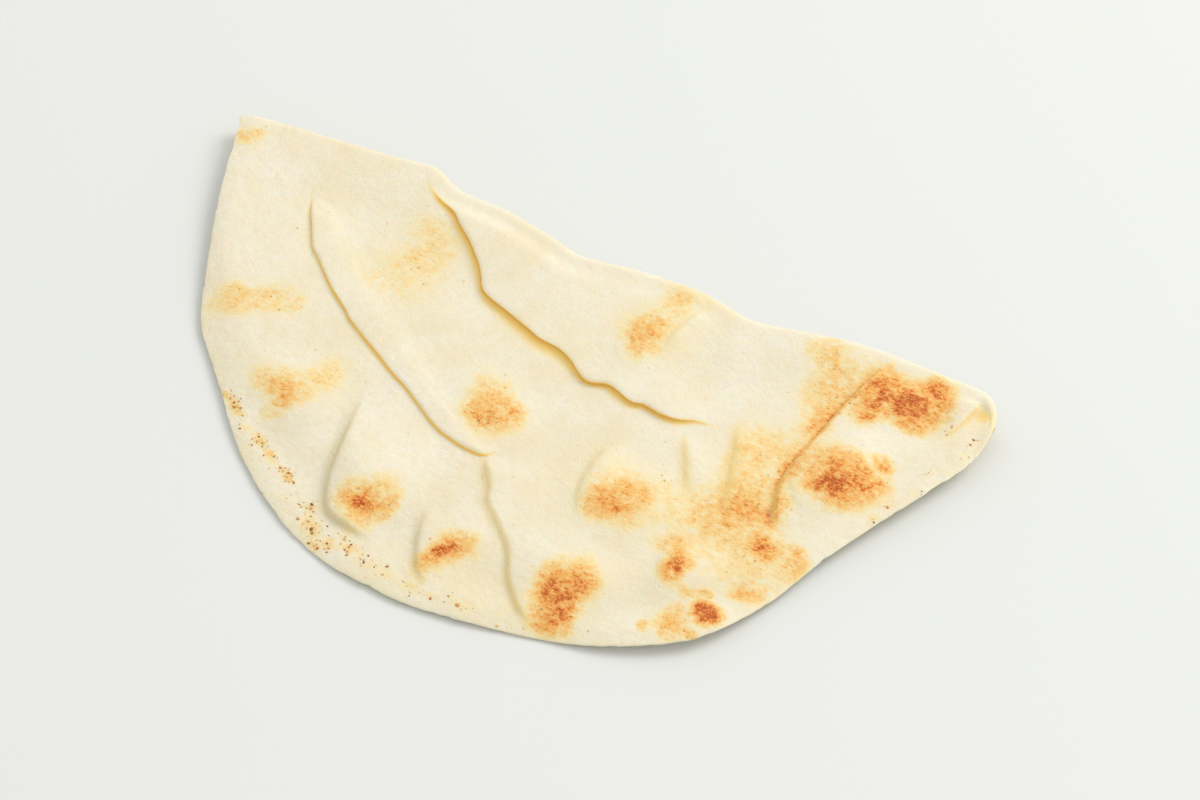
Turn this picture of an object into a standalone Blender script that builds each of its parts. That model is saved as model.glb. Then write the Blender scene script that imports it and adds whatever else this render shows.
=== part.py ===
"""Large thin pita, folded once: the wide upper leaf lies over the shorter lower leaf.

Metres, +Z up. +X runs along the fold, from its flat end to its open end, and the
curved rim faces -Y. The origin is at the centre of the object's box, on its base.

The bread is one wall of dough. Its middle surface is first laid out flat, in dough
coordinates: p runs along the fold and q across it, below zero on the lower leaf and
above zero on the upper one. That flat sheet is cut into triangles, fold_over() puts
each of its points in place, and Solidify gives the wall its thickness.
"""

import bmesh
import bpy
import numpy as np
from mathutils import Vector
from mathutils.geometry import delaunay_2d_cdt
from mathutils.kdtree import KDTree

MM = 0.001
NAME = "pita_bread"
CRUMB_COLOUR = (0.871, 0.784, 0.578, 1.0)
CRUMB_ROUGHNESS = 0.85

# The wall of dough
WALL = 2.0 * MM
RIM_WALL_SHARE = 0.5         # the rim's thickness, as a share of the wall
RIM_TAPER = 6 * MM           # distance from the rim over which the wall gets its thickness
REST_GAP = 0.8 * MM          # air between the leaves where they lie closest

# Plan of both rims and of the fold, in mm, from the flat end to the open end
FLAT_END, OPEN_END = -156.4, 160.2
UPPER_RIM = [(-154.5, 73.5), (-146, 51), (-136, 28), (-125, 6), (-119.5, -5), (-114, -14),
             (-107.5, -21.5), (-88.5, -39), (-76.5, -51), (-62, -63), (-46, -73), (-32, -80),
             (-19, -84), (-8, -86), (3, -86.5), (13, -87), (31, -85), (56, -79.5), (81.5, -72),
             (101.5, -61.5), (109, -55), (115, -46.5), (123.5, -28.5), (131, -8), (140, 12),
             (148.5, 29.5), (158.5, 51), (160.5, 61), (160.5, 69.5)]
LOWER_RIM = [(-150.5, 66), (-133, 38), (-108, 6), (-76, -22), (-34, -42), (14, -50), (62, -46),
             (98, -30), (124, -6), (142, 24.5), (155, 50), (158, 58.5), (158.5, 66)]
FOLD_LINE = [(-160, 78), (-136, 82), (-95, 87.5), (-80, 90), (-75, 89.5), (-70, 87), (-64, 84.5),
             (-58, 83.5), (-41, 83), (-20, 79), (-8, 76), (1, 76.5), (18, 79.5), (38, 80.5),
             (49, 79.5), (62, 76.5), (71, 77.5), (95, 83), (111, 85), (140, 84), (152, 83),
             (158, 77.5), (161.5, 68)]
CENTRE = (2.1 * MM, 1.5 * MM, 0.0)   # the middle of this plan, which becomes the origin

# Stations along the fold, in mm, and there the radius of its loop of dough and the
# distance over which the upper leaf comes down from the loop
LOOP_RADIUS = [(-160, 1.6), (-90, 2.8), (0, 2.6), (100, 3.0), (160, 2.2)]
LOOP_SINK = [(-160, 26), (-90, 34), (0, 34), (100, 30), (160, 16)]
RELIEF_START = 8 * MM        # distance from the loop over which the relief grows in
PLEAT_FROM, PLEAT_REACH = 143 * MM, 6 * MM   # past there the relief starts close to the loop
PLEAT_START = 0.3            # RELIEF_START's share there
LOWER_DENT = (154.5, 73, 10, 12, 0, -1.9)    # a dome turned down: the room under the pleat

# The bread lies flat along its middle, and its ends curve up
FLAT_FROM, FLAT_TO = -70 * MM, 80 * MM
LIFT_REACH = 90 * MM
LIFT_LEFT, LIFT_RIGHT = 5.0 * MM, 4.0 * MM
DRAPE = 18 * MM              # distance over which the upper leaf comes down past the lower rim
RIM_CLEAR = 2 * MM           # how far past the lower rim it starts to come down

# Waves of the front rim above the surface: height in mm, length in mm, phase in radians
RIM_WAVES = [(0.7, 96, 0.4), (0.4, 41, 2.1)]

END_SPREAD = 0.9             # how much more gently a crease starts and ends, per metre beside it

# Creases, where the dough on the left of the line's direction stands over the other side.
# name: line of its brow in mm, height of its step, width of the step, reach of the raised
# side, and the lengths over which the step grows in at its start and dies out at its end
BROW_SHARE = 0.65            # the share of a step's width in front of its brow
CREASES = {
    "long_lip": ([(-76, 82), (-66, 75.5), (-57, 72), (-52, 68), (-44, 62),
                  (-36, 54.5), (-32, 49.5), (-27, 43.5), (-14.5, 39), (1, 33.5),
                  (9, 32.5), (15.5, 30), (24, 24.5), (34, 26), (43.5, 23),
                  (61, 23.5), (77, 27.5)], 2.5, 4.4, 26, 20, 22),
    "left_lip": ([(-112, 58), (-101, 41.5), (-95.5, 33.5), (-90.5, 29.5), (-79, 20),
                  (-63.5, 9), (-47.5, 0.5), (-29, -9), (-12.5, -18.5), (-3, -21.5),
                  (4.5, -22.5), (13, -17.5)], 1.6, 4.2, 26, 14, 8),
    "centre_lip": ([(9, -22), (14, -27.5), (21.5, -39.5), (30, -47), (37.5, -54),
                    (42.5, -62.5), (50, -70.5), (58, -76)], 1.9, 4.8, 22, 8, 10),
    "end_lip": ([(119, 82), (112, 60), (109, 40), (106.5, 24), (106.5, 14), (109, 4),
                 (112.5, -5)], 2.4, 4.2, 24, 22, 10),
    "pleat": ([(144.5, 54.5), (146.5, 59.5), (148.5, 63.5), (150, 70), (152, 77)],
              2.3, 4.2, 6, 14, 1.5),
    "blister_b_edge": ([(-42.5, -16.5), (-39.5, -28.5), (-35, -44), (-32, -56.5),
                        (-27, -66), (-22, -69), (-15, -70), (-6, -71)],
                       2.5, 5.6, 20, 24, 14),
    "blister_c_edge": ([(3.5, -50), (7.5, -63), (12.5, -73), (20, -80)], 1.6, 5.0, 14, 14, 14),
    "blister_e_edge": ([(50, 7.5), (45.5, -2.5), (45, -11.5), (46.5, -20.5),
                        (50.5, -32.5)], 1.8, 5.4, 18, 12, 12),
    "fold_f": ([(65, 20), (71.5, 9.5), (76.5, 0), (80, -8)], 1.6, 5.6, 9, 10, 12),
    "fold_g": ([(79, 35), (85.5, 19.5), (91, 3), (93.5, -7)], 1.7, 5.2, 9, 14, 14),
    "fold_k": ([(49, 77), (48, 72), (45, 65), (43, 53.5), (43, 44)], 1.5, 4.8, 9, 10, 12),
}

# Domes of the dough: centre in mm, half length, half width, turn in degrees, height in mm
DOMES = {
    "fold_roll": (10, 57, 84, 24, -4, 1.0),
    "panel": (-42, 24, 60, 26, -34, 0.7),
    "blister_a": (0, -3, 27, 20, -20, 1.6),
    "blister_b": (-19, -49, 31, 22, 84, 2.6),
    "blister_c": (20, -60, 25, 16, 70, 1.6),
    "blister_d": (64, -58, 26, 20, 30, 2.4),
    "blister_e": (62, -17, 27, 22, 10, 2.2),
    "blister_f": (92, -34, 19, 13, 60, 1.6),
    "blister_g": (108, -47, 12, 10, 0, 0.8),
    "blister_h": (123, 28, 24, 18, 80, 2.6),
    "blister_i": (131, 67, 24, 16, 30, 1.4),
    "blister_j": (-66, -28, 29, 20, -10, 2.0),
    "blister_k": (36, 52, 26, 17, 70, 1.8),
    "pleat_floor": (154.6, 73.5, 9.5, 6, 70, -1.7),
    "rim_lift": (104, -64, 52, 24, 42, 3.0),
}

# Spacing of the mesh's points
UPPER_SPACING = 6.4 * MM
LOWER_SPACING = 11.0 * MM
LOWER_FROM = -16 * MM        # below this q the lower leaf's spacing holds
RIM_SPACING = 4.6 * MM
CREASE_SPACING = 3.2 * MM
CREASE_ROWS = (-0.65, -0.2, 0.25)    # rows of points along a crease, in widths of its step
LOOP_ROWS = (-2.4, -1.5, -1.0, -0.5, 0.0, 0.5, 1.0, 1.8)   # rows at the loop, in quarter turns
CLEAR_SHARE = 0.5            # a point nearer than this share of its spacing is left out
ROW_HEIGHT = np.sqrt(0.75)           # of a lattice of even triangles, in spacings
SAME_POINT = 1e-7

# Sampling of the smooth lines: steps between two given points, and the spacing in mm
STEPS = 40
LINE_SPACING = 1.0

QUARTER_TURN = np.array([[0.0, 1.0], [-1.0, 0.0]])   # turns row vectors to their left


def smooth(t):
    """0 below t = 0, 1 above t = 1, and an even S between them."""
    t = np.clip(t, 0.0, 1.0)
    return t * t * (3.0 - 2.0 * t)


def curve_through(points, spacing, closed=False):
    """Points at an even spacing along a smooth curve through the given ones."""
    knots = np.asarray(points, float)
    if closed:
        knots = np.vstack([knots[-1:], knots, knots[:2]])
    else:
        knots = np.vstack([2 * knots[0] - knots[1], knots, 2 * knots[-1] - knots[-2]])
    t = np.linspace(0.0, 1.0, STEPS, endpoint=False)[:, None]
    runs = []
    for before, start, end, after in zip(knots, knots[1:], knots[2:], knots[3:]):
        leave, arrive = (end - before) / 2, (after - start) / 2
        runs.append((2 * t**3 - 3 * t**2 + 1) * start + (t**3 - 2 * t**2 + t) * leave
                    + (3 * t**2 - 2 * t**3) * end + (t**3 - t**2) * arrive)
    dense = np.vstack(runs + ([] if closed else [knots[-2:-1]]))
    if closed:
        dense = np.vstack([dense, dense[:1]])
    along = np.concatenate([[0.0], np.cumsum(np.hypot(*np.diff(dense, axis=0).T))])
    count = max(2, round(along[-1] / spacing)) + 1
    stations = np.linspace(0.0, along[-1], count)
    even = np.column_stack([np.interp(stations, along, axis) for axis in dense.T])
    return even[:-1] if closed else even


def as_function(points):
    """A smooth function y(x) through the given points, in metres."""
    line = curve_through(points, LINE_SPACING) * MM
    return lambda x: np.interp(x, line[:, 0], line[:, 1])


fold_y = as_function(FOLD_LINE)
loop_radius = as_function(LOOP_RADIUS)
loop_sink = as_function(LOOP_SINK)


def directions(line):
    tangent = np.gradient(line, axis=0)
    return tangent / np.hypot(*tangent.T)[:, None]


def offset_from(line, x, y):
    """Distance to a line, above zero on its left and below zero on its right."""
    tangent = directions(line)
    squares = (x[:, None] - line[:, 0])**2 + (y[:, None] - line[:, 1])**2
    nearest = np.argmin(squares, axis=1)
    dx, dy = x - line[nearest, 0], y - line[nearest, 1]
    side = np.sign(tangent[nearest, 0] * dy - tangent[nearest, 1] * dx)
    return side * np.hypot(dx, dy)


def crease_height(crease, x, y):
    points, height, width, reach, grow, die = crease
    line = curve_through(points, LINE_SPACING) * MM
    tangent = directions(line)
    from_start = (x - line[0, 0]) * tangent[0, 0] + (y - line[0, 1]) * tangent[0, 1]
    to_end = (line[-1, 0] - x) * tangent[-1, 0] + (line[-1, 1] - y) * tangent[-1, 1]
    across = offset_from(line, x, y)
    spread = END_SPREAD * np.abs(across)
    strength = smooth(from_start / (grow * MM + spread)) * smooth(to_end / (die * MM + spread))
    step = smooth(across / (width * MM) + BROW_SHARE)
    fall = np.exp(-(np.maximum(across, 0.0) / (reach * MM))**2)
    return height * MM * strength * step * fall


def dome_height(dome, x, y):
    centre_x, centre_y, half_length, half_width, turn, height = dome
    cos, sin = np.cos(np.radians(turn)), np.sin(np.radians(turn))
    dx, dy = x - centre_x * MM, y - centre_y * MM
    along, across = cos * dx + sin * dy, cos * dy - sin * dx
    inside = 1 - (along / (half_length * MM))**2 - (across / (half_width * MM))**2
    return height * MM * np.maximum(inside, 0.0)**2


def lift(x):
    """How far both leaves curve up towards the ends."""
    left = np.clip((FLAT_FROM - x) / LIFT_REACH, 0.0, 1.0)
    right = np.clip((x - FLAT_TO) / LIFT_REACH, 0.0, 1.0)
    return LIFT_LEFT * left**2 + LIFT_RIGHT * right**2


def over_lower_leaf(x, y):
    """1 above the lower leaf, falling to 0 past its rim."""
    ends = [(end, fold_y(end * MM) / MM) for end in (FLAT_END, OPEN_END)]
    rim = curve_through([ends[0], *LOWER_RIM, ends[1]], LINE_SPACING) * MM
    return smooth(1 + (offset_from(rim, x, y) + RIM_CLEAR) / DRAPE)


def resting_height(x, y):
    """Middle of the upper leaf's wall, away from the loop, without its relief."""
    leaf = over_lower_leaf(x, y)
    waves = sum(0.5 * height * (1 + np.sin(2 * np.pi * x / (length * MM) + phase))
                for height, length, phase in RIM_WAVES) * MM
    return (WALL + REST_GAP) * leaf + waves * (1 - leaf)


def relief_height(x, y):
    """Height of the creases and domes, which start a little way in front of the loop."""
    relief = sum(dome_height(dome, x, y) for dome in DOMES.values())
    relief = relief + sum(crease_height(crease, x, y) for crease in CREASES.values())
    pleat = smooth((x - PLEAT_FROM) / PLEAT_REACH)
    depth = fold_y(x) - y - loop_radius(x) * (2 - pleat)
    return relief * smooth(depth / (RELIEF_START * (1 - (1 - PLEAT_START) * pleat)))


def fold_over(p, q):
    """Places of the dough coordinates (p, q) on the folded sheet's middle surface."""
    radius = loop_radius(p)
    quarter = radius * np.pi / 2
    past_loop = np.maximum(np.abs(q) - quarter, 0.0)
    turn = np.clip(q / quarter, -1.0, 1.0) * np.pi / 2
    y = fold_y(p) - radius + radius * np.cos(turn) - past_loop
    loop_z = radius * (1 + np.sin(turn))
    sink = smooth(past_loop / loop_sink(p))
    upper = loop_z * (1 - sink) + resting_height(p, y) * sink + relief_height(p, y)
    lower = loop_z + dome_height(LOWER_DENT, p, y)
    z = WALL / 2 + lift(p) + np.where(q > 0, upper, lower)
    return np.column_stack([p, y, z]) - CENTRE


def dough_q(x, y, side):
    """The dough coordinate q of a point of the plan, on the upper (1) or lower (-1) leaf."""
    radius = loop_radius(x)
    return side * (radius * np.pi / 2 + fold_y(x) - radius - y)


def dough_rim(spacing):
    """The rim of the flat sheet, as a closed row of points in dough coordinates."""
    upper = curve_through(UPPER_RIM, spacing / MM) * MM
    lower = curve_through(LOWER_RIM[::-1], spacing / MM) * MM
    knots = np.vstack([
        [[FLAT_END * MM, 0.0]],
        np.column_stack([upper[:, 0], dough_q(*upper.T, 1)]),
        [[OPEN_END * MM, 0.0]],
        np.column_stack([lower[:, 0], dough_q(*lower.T, -1)]),
    ])
    return curve_through(knots, spacing, closed=True)


def crease_rows(spacing, rows):
    """Rows of points beside each crease, in dough coordinates."""
    for points, _, width, *_ in CREASES.values():
        line = curve_through(points, spacing / MM) * MM
        left = directions(line) @ QUARTER_TURN
        for row in rows:
            x, y = (line + left * row * width * MM).T
            yield np.column_stack([x, dough_q(x, y, 1)])


def loop_rows(spacing, rows):
    """Rows of points along the loop, from its lower to its upper side."""
    p = np.arange(FLAT_END * MM, OPEN_END * MM, spacing)
    for row in rows:
        yield np.column_stack([p, row * loop_radius(p) * np.pi / 2])


def lattice(spacing, q_from, q_to):
    """Even triangular lattice over the flat sheet between two values of q."""
    rows = []
    for index, q in enumerate(np.arange(q_from, q_to, spacing * ROW_HEIGHT)):
        start = FLAT_END * MM + spacing * (0.25 + 0.5 * (index % 2))
        p = np.arange(start, OPEN_END * MM, spacing)
        rows.append(np.column_stack([p, np.full(len(p), q)]))
    return np.vstack(rows)


def far_from(accepted, candidates, distance):
    """The candidates that lie at least this far from every accepted point."""
    tree = KDTree(len(accepted))
    for index, point in enumerate(accepted):
        tree.insert((*point, 0.0), index)
    tree.balance()
    return [tuple(point) for point in candidates if tree.find((*point, 0.0))[2] >= distance]


def flat_sheet():
    """Points of the flat sheet, in dough coordinates, and the corners of its triangles."""
    rim = dough_rim(RIM_SPACING)
    q_low, q_high = rim[:, 1].min(), rim[:, 1].max()
    batches = [(row, RIM_SPACING) for row in loop_rows(RIM_SPACING, LOOP_ROWS)]
    batches += [(row, CREASE_SPACING) for row in crease_rows(CREASE_SPACING, CREASE_ROWS)]
    batches.append((lattice(UPPER_SPACING, 0.0, q_high), UPPER_SPACING))
    batches.append((lattice(LOWER_SPACING, q_low, LOWER_FROM), LOWER_SPACING))
    points = [tuple(point) for point in rim]
    for batch, spacing in batches:
        points += far_from(points, batch, CLEAR_SHARE * spacing)
    border = [(index, (index + 1) % len(rim)) for index in range(len(rim))]
    flat = [Vector(point) for point in points]
    placed, _, triangles, *_ = delaunay_2d_cdt(flat, border, [], 1, SAME_POINT)
    used, corners = np.unique(np.array(triangles), return_inverse=True)
    return np.array(placed)[used], corners.reshape(-1, 3)


def wall_share(points, rim):
    """Share of the full wall at each point: 0 on the rim, 1 past its taper."""
    tree = KDTree(len(rim))
    for index, point in enumerate(rim):
        tree.insert((*point, 0.0), index)
    tree.balance()
    depth = np.array([tree.find((*point, 0.0))[2] for point in points])
    return np.clip(depth / RIM_TAPER, 0.0, 1.0)


def build_bread():
    points, triangles = flat_sheet()
    mesh = bpy.data.meshes.new(NAME)
    work = bmesh.new()
    vertices = [work.verts.new(place) for place in fold_over(*points.T)]
    # No primitive makes a sheet with points along its creases, so its faces come from the
    # triangulation of the flat outline.
    for triangle in triangles:
        work.faces.new([vertices[corner] for corner in triangle])
    work.to_mesh(mesh)
    work.free()
    bread = bpy.data.objects.new(NAME, mesh)
    wall = bread.vertex_groups.new(name="wall")
    for index, share in enumerate(wall_share(points, dough_rim(RIM_SPACING))):
        wall.add([index], float(share), "REPLACE")
    solidify = bread.modifiers.new("wall", "SOLIDIFY")
    solidify.thickness = WALL
    solidify.offset = 0.0
    solidify.vertex_group = wall.name
    solidify.thickness_vertex_group = RIM_WALL_SHARE
    return bread


def crumb():
    material = bpy.data.materials.new("baked_dough")
    material.use_nodes = True
    shader = material.node_tree.nodes["Principled BSDF"]
    shader.inputs["Base Color"].default_value = CRUMB_COLOUR
    shader.inputs["Roughness"].default_value = CRUMB_ROUGHNESS
    shader.inputs["Metallic"].default_value = 0.0
    return material


def main():
    for old in list(bpy.data.objects):
        bpy.data.objects.remove(old, do_unlink=True)
    collection = bpy.data.collections.new("pita_bread")
    bpy.context.scene.collection.children.link(collection)
    bread = build_bread()
    bread.data.materials.append(crumb())
    bread.data.shade_smooth()
    collection.objects.link(bread)


main()
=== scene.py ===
# %% [markdown]
# # A folded pita
#
# The object is one large, thin, round flatbread that was folded in half. A wide upper leaf lies
# over a shorter lower leaf, and both are the same wall of dough, 2 mm thick, that turns over at
# the fold. The oven blew blisters into it and toasted their tops, and the soft dough creased
# where it was folded.
#
# The lesson builds it the way a baker would: first the flat sheet, then the fold, then the
# creases and blisters, then the toasting. Each step is a cell, and prints what it made.

import bmesh
import bpy
import numpy as np
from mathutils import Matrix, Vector, noise
from mathutils.geometry import delaunay_2d_cdt
from mathutils.kdtree import KDTree


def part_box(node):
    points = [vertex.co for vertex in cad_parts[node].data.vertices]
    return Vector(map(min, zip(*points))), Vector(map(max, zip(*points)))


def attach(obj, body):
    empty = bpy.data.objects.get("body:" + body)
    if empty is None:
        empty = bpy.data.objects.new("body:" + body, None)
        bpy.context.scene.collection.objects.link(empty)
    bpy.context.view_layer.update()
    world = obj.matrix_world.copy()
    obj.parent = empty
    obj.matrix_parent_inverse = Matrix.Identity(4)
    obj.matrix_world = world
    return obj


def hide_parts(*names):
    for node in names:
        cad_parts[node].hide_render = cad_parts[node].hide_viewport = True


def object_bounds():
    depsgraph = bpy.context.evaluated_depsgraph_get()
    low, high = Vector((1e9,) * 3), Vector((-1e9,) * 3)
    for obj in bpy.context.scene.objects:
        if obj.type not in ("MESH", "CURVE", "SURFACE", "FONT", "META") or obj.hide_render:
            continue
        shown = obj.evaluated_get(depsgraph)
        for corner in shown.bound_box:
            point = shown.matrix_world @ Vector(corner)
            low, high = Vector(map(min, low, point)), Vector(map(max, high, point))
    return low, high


MM = 0.001

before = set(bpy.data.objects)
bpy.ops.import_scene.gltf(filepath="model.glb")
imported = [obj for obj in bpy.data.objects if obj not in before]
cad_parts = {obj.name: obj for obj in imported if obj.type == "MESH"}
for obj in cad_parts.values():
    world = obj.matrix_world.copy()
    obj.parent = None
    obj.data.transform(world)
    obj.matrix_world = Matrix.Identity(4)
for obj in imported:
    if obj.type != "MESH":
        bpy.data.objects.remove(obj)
cad_low, cad_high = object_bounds()
bread_low, bread_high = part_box("pita_bread")
print("solid in mm:", [round(side / MM, 1) for side in bread_high - bread_low])

# %% [markdown]
# ## Smooth lines through a few points
#
# A rim or a crease is drawn as a short list of points in plan, in millimetres, with the fold
# along X. A Bezier curve object could join them, but the places along it are needed as numbers,
# so a Catmull-Rom spline is worked out with numpy: it passes through every given point, and
# the result is cut into even steps. Blisters and toasted patches are ellipses, given by their
# centre, half length, half width and turn.

# %% Curves and soft steps
STEPS = 40                   # steps between two given points
LINE_SPACING = 1.0           # mm between the points of a finished line


def smooth(t):
    """0 below t = 0, 1 above t = 1, and an even S between them."""
    t = np.clip(t, 0.0, 1.0)
    return t * t * (3.0 - 2.0 * t)


def curve_through(points, spacing, closed=False):
    """Points at an even spacing along a smooth curve through the given ones."""
    knots = np.asarray(points, float)
    if closed:
        knots = np.vstack([knots[-1:], knots, knots[:2]])
    else:
        knots = np.vstack([2 * knots[0] - knots[1], knots, 2 * knots[-1] - knots[-2]])
    t = np.linspace(0.0, 1.0, STEPS, endpoint=False)[:, None]
    runs = []
    for before, start, end, after in zip(knots, knots[1:], knots[2:], knots[3:]):
        leave, arrive = (end - before) / 2, (after - start) / 2
        runs.append((2 * t**3 - 3 * t**2 + 1) * start + (t**3 - 2 * t**2 + t) * leave
                    + (3 * t**2 - 2 * t**3) * end + (t**3 - t**2) * arrive)
    dense = np.vstack(runs + ([] if closed else [knots[-2:-1]]))
    if closed:
        dense = np.vstack([dense, dense[:1]])
    along = np.concatenate([[0.0], np.cumsum(np.hypot(*np.diff(dense, axis=0).T))])
    count = max(2, round(along[-1] / spacing)) + 1
    stations = np.linspace(0.0, along[-1], count)
    even = np.column_stack([np.interp(stations, along, axis) for axis in dense.T])
    return even[:-1] if closed else even


def as_function(points):
    """A smooth function y(x) through the given points, in metres."""
    line = curve_through(points, LINE_SPACING) * MM
    return lambda x: np.interp(x, line[:, 0], line[:, 1])


def directions(line):
    tangent = np.gradient(line, axis=0)
    return tangent / np.hypot(*tangent.T)[:, None]


def seen_from(line, tangent, x, y):
    """Each point's nearest station of a line, and its distances along and beside it."""
    squares = (x[:, None] - line[:, 0])**2 + (y[:, None] - line[:, 1])**2
    nearest = np.argmin(squares, axis=1)
    dx, dy = x - line[nearest, 0], y - line[nearest, 1]
    ahead = tangent[nearest]
    return nearest, ahead[:, 0] * dx + ahead[:, 1] * dy, ahead[:, 0] * dy - ahead[:, 1] * dx


def in_ellipse(centre_x, centre_y, half_length, half_width, turn, x, y):
    """Places along and across an ellipse, 1 at its edge."""
    cos, sin = np.cos(np.radians(turn)), np.sin(np.radians(turn))
    dx, dy = x - centre_x * MM, y - centre_y * MM
    along, across = cos * dx + sin * dy, cos * dy - sin * dx
    return along / (half_length * MM), across / (half_width * MM)


# %% [markdown]
# ## The plan of the loaf
#
# The disc of dough is about 300 mm across. Folded, its plan is a half moon: the fold runs along
# the back, and the upper leaf's rim sweeps round the front. The lower leaf is about 35 mm
# shorter, so from above it stays hidden. These are the same lines as in the solid.

# %% Outlines
FLAT_END, OPEN_END = -156.4, 160.2
UPPER_RIM = [(-154.5, 73.5), (-146, 51), (-136, 28), (-125, 6), (-119.5, -5), (-114, -14),
             (-107.5, -21.5), (-88.5, -39), (-76.5, -51), (-62, -63), (-46, -73), (-32, -80),
             (-19, -84), (-8, -86), (3, -86.5), (13, -87), (31, -85), (56, -79.5), (81.5, -72),
             (101.5, -61.5), (109, -55), (115, -46.5), (123.5, -28.5), (131, -8), (140, 12),
             (148.5, 29.5), (158.5, 51), (160.5, 61), (160.5, 69.5)]
LOWER_RIM = [(-150.5, 66), (-133, 38), (-108, 6), (-76, -22), (-34, -42), (14, -50), (62, -46),
             (98, -30), (124, -6), (142, 24.5), (155, 50), (158, 58.5), (158.5, 66)]
FOLD_LINE = [(-160, 78), (-136, 82), (-95, 87.5), (-80, 90), (-75, 89.5), (-70, 87), (-64, 84.5),
             (-58, 83.5), (-41, 83), (-20, 79), (-8, 76), (1, 76.5), (18, 79.5), (38, 80.5),
             (49, 79.5), (62, 76.5), (71, 77.5), (95, 83), (111, 85), (140, 84), (152, 83),
             (158, 77.5), (161.5, 68)]
CENTRE = (2.1 * MM, 1.5 * MM)        # the middle of this drawing; the frame has it at its origin

WALL = 2.0 * MM
RIM_WALL = 1.0 * MM          # the wall's thickness at the torn edge
RIM_TAPER = 6 * MM           # distance from the rim over which the wall gets its thickness
REST_GAP = 0.8 * MM          # air between the leaves where they lie closest

# Stations along the fold: the radius of its loop, and the reach over which the leaf sinks
LOOP_RADIUS = [(-160, 1.6), (-90, 2.8), (0, 2.6), (100, 3.0), (160, 2.2)]
LOOP_SINK = [(-160, 26), (-90, 34), (0, 34), (100, 30), (160, 16)]

FLAT_FROM, FLAT_TO = -70 * MM, 80 * MM           # past there the ends curve up
LIFT_REACH = 90 * MM         # the length over which they reach their lift
LIFT_LEFT, LIFT_RIGHT = 5.0 * MM, 4.0 * MM
DRAPE = 18 * MM              # distance over which the upper leaf comes down past the lower rim
RIM_CLEAR = 2 * MM           # how far past the lower rim it starts to come down
RIM_WAVES = [(0.35, 96, 0.4), (0.2, 41, 2.1)]    # height mm, length mm, phase
RIM_WAVES_UP = 0.55 * MM     # lifts their troughs back to the table
RELIEF_START = 8 * MM        # distance from the loop over which the relief grows in
PLEAT_FROM, PLEAT_REACH = 143 * MM, 6 * MM       # past there the relief starts close to the loop
PLEAT_START = 0.3            # RELIEF_START's share there
LOWER_DENT = (154.5, 73, 10, 12, 0, -1.9)        # the lower leaf makes room for the pleat


def waves(x, of):
    """A few sine waves of the given heights, lengths and phases."""
    return sum(height * np.sin(2 * np.pi * x / (length * MM) + phase)
               for height, length, phase in of) * MM


fold_y = as_function(FOLD_LINE)
loop_radius = as_function(LOOP_RADIUS)
loop_sink = as_function(LOOP_SINK)
print("fold", round(OPEN_END - FLAT_END), "mm, upper leaf",
      round((fold_y(0.0) / MM) - min(y for _, y in UPPER_RIM)), "mm deep")

# %% [markdown]
# ## Creases and blisters as heights
#
# Where soft dough is pushed together, one side rides up and ends in a rounded lip. Seen from
# the side, the low dough climbs along a foot, steeper and steeper, to a brow, and falls back
# behind it over a few centimetres. A blister is a low dome.
#
# Sculpting would work too, but a step and a dome are short formulas, so each crease is a line
# along its brow with a height and a foot, and each blister an ellipse with a height. A lip also
# leans over its foot, which no height alone can do, so it moves the dough sideways as well.
#
# At the open end the fold pinched the dough into a short pleat. It is a crease like the others,
# with a dome turned down beside it as its hollow.

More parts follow.
